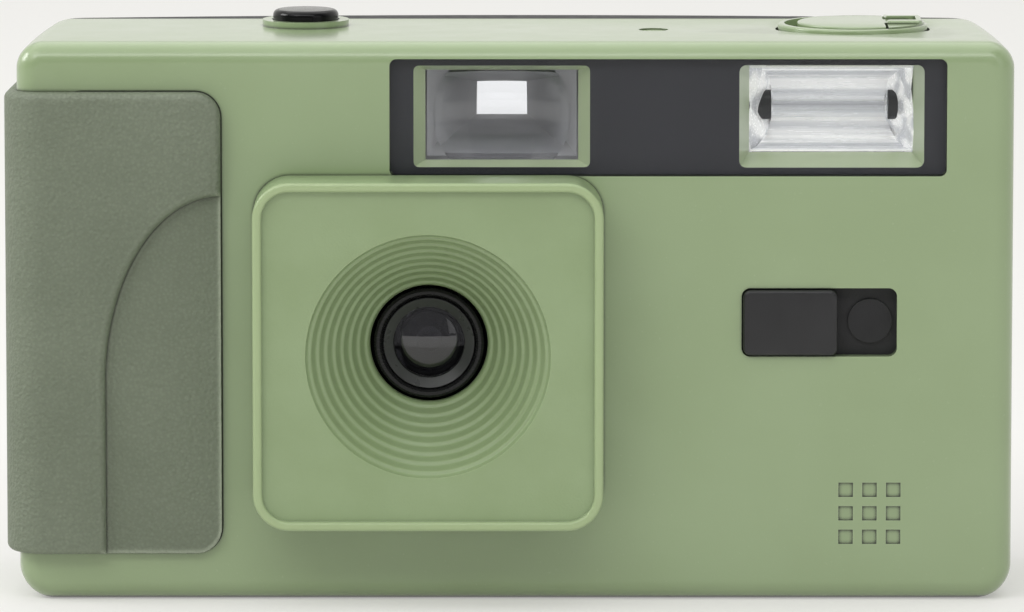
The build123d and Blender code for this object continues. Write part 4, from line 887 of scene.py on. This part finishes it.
def pale_ground():
    """Pale paper: partly its own even colour, and partly lit, so that it takes a soft shadow."""
    finish = Finish("pale_ground", srgb(228, 227, 223), 0.9)
    straight = finish.add("ShaderNodeLightPath").outputs["Is Camera Ray"]
    finish.colour(finish.blend(straight, srgb(224, 223, 219), srgb(240, 239, 236)))
    finish.bump(finish.noise(1.5 * mm, 2), 0.01 * mm)
    glow = finish.add("ShaderNodeEmission")
    glow.inputs["Color"].default_value = sweep_pale
    through = finish.add("ShaderNodeLightPath").outputs["Is Transmission Ray"]
    finish.link(finish.ramp(through, 0, 1, 1.0, glow_through_glass), glow.inputs["Strength"])
    mix = finish.add("ShaderNodeMixShader")
    share = finish.combine(background_rays(finish.tree), ground_glow, "MULTIPLY")
    finish.link(share, mix.inputs[0])
    finish.link(finish.shader.outputs[0], mix.inputs[1])
    finish.link(glow.outputs[0], mix.inputs[2])
    finish.link(mix.outputs[0], finish.tree.nodes["Material Output"].inputs["Surface"])
    return finish.material


def ground():
    """The floor and backdrop in one, far wider than the view."""
    bpy.ops.mesh.primitive_plane_add(size=ground_side, location=(0, 0, 0))
    plane = bpy.context.object
    plane.name = "ground"
    plane.data.materials.append(pale_ground())


def soft_light(name, place, width, height, power):
    """A rectangular lamp of this size in metres and power in watts, facing the camera body."""
    light = bpy.data.lights.new(name, "AREA")
    light.shape = "RECTANGLE"
    light.size = width
    light.size_y = height
    light.energy = power
    lamp = bpy.data.objects.new(name, light)
    bpy.context.scene.collection.objects.link(lamp)
    lamp.location = place
    lamp.rotation_euler = (lamp_aim - Vector(place)).to_track_quat("-Z", "Y").to_euler()


def surroundings():
    """An even room for light, and for mirror and glass a pale sweep behind and a dim room in front."""
    world = bpy.data.worlds.new("studio")
    bpy.context.scene.world = world
    world.use_nodes = True
    tree = world.node_tree
    sky = tree.nodes["Background"]
    sky.inputs["Color"].default_value = room_light
    sky.inputs["Strength"].default_value = room_strength
    direction = tree.nodes.new("ShaderNodeSeparateXYZ")
    tree.links.new(tree.nodes.new("ShaderNodeTexCoord").outputs["Generated"], direction.inputs[0])
    behind = tree.nodes.new("ShaderNodeMapRange")
    behind.inputs["From Min"].default_value = dim_until
    behind.inputs["From Max"].default_value = pale_from
    tree.links.new(direction.outputs["Y"], behind.inputs["Value"])
    room = tree.nodes.new("ShaderNodeMix")
    room.data_type = "RGBA"
    tree.links.new(behind.outputs["Result"], room.inputs["Factor"])
    room.inputs["A"].default_value = room_dim
    room.inputs["B"].default_value = sweep_pale
    seen = tree.nodes.new("ShaderNodeBackground")
    tree.links.new(room.outputs["Result"], seen.inputs["Color"])
    choose_sky = tree.nodes.new("ShaderNodeMixShader")
    tree.links.new(background_rays(tree), choose_sky.inputs[0])
    tree.links.new(sky.outputs[0], choose_sky.inputs[1])
    tree.links.new(seen.outputs[0], choose_sky.inputs[2])
    tree.links.new(choose_sky.outputs[0], tree.nodes["World Output"].inputs["Surface"])


def lamps():
    """Soft light from the upper left, from above and from the left, with a weak fill from the right."""
    soft_light("key", (-0.9, -0.9, 1.1), 0.9, 0.9, 2.8)
    soft_light("bar", (-0.1, -1.0, 0.95), 1.6, 0.3, 4.5)
    soft_light("overhead", (-0.1, 0.05, 1.35), 2.4, 1.8, 12.0)
    soft_light("fill", (1.0, -1.1, 0.5), 0.8, 0.8, 1.2)
    soft_light("side", (-1.2, 0.05, 0.7), 0.6, 0.5, 6.0)


def viewpoint():
    """The camera that takes the picture, with a lens that spans the view's width at the front plane."""
    camera = bpy.data.cameras.new("viewpoint")
    camera.sensor_width = sensor_width
    camera.clip_end = far_clip
    eye = bpy.data.objects.new("viewpoint", camera)
    bpy.context.scene.collection.objects.link(eye)
    place = Vector((view_x, front - view_distance, view_height))
    target = Vector((view_x, front, aim_height))
    camera.lens = sensor_width * (target - place).length / view_width
    eye.location = place
    eye.rotation_euler = (target - place).to_track_quat("-Z", "Y").to_euler()
    bpy.context.scene.camera = eye


ground()
surroundings()
lamps()
viewpoint()
bpy.context.scene.view_settings.view_transform = "Standard"
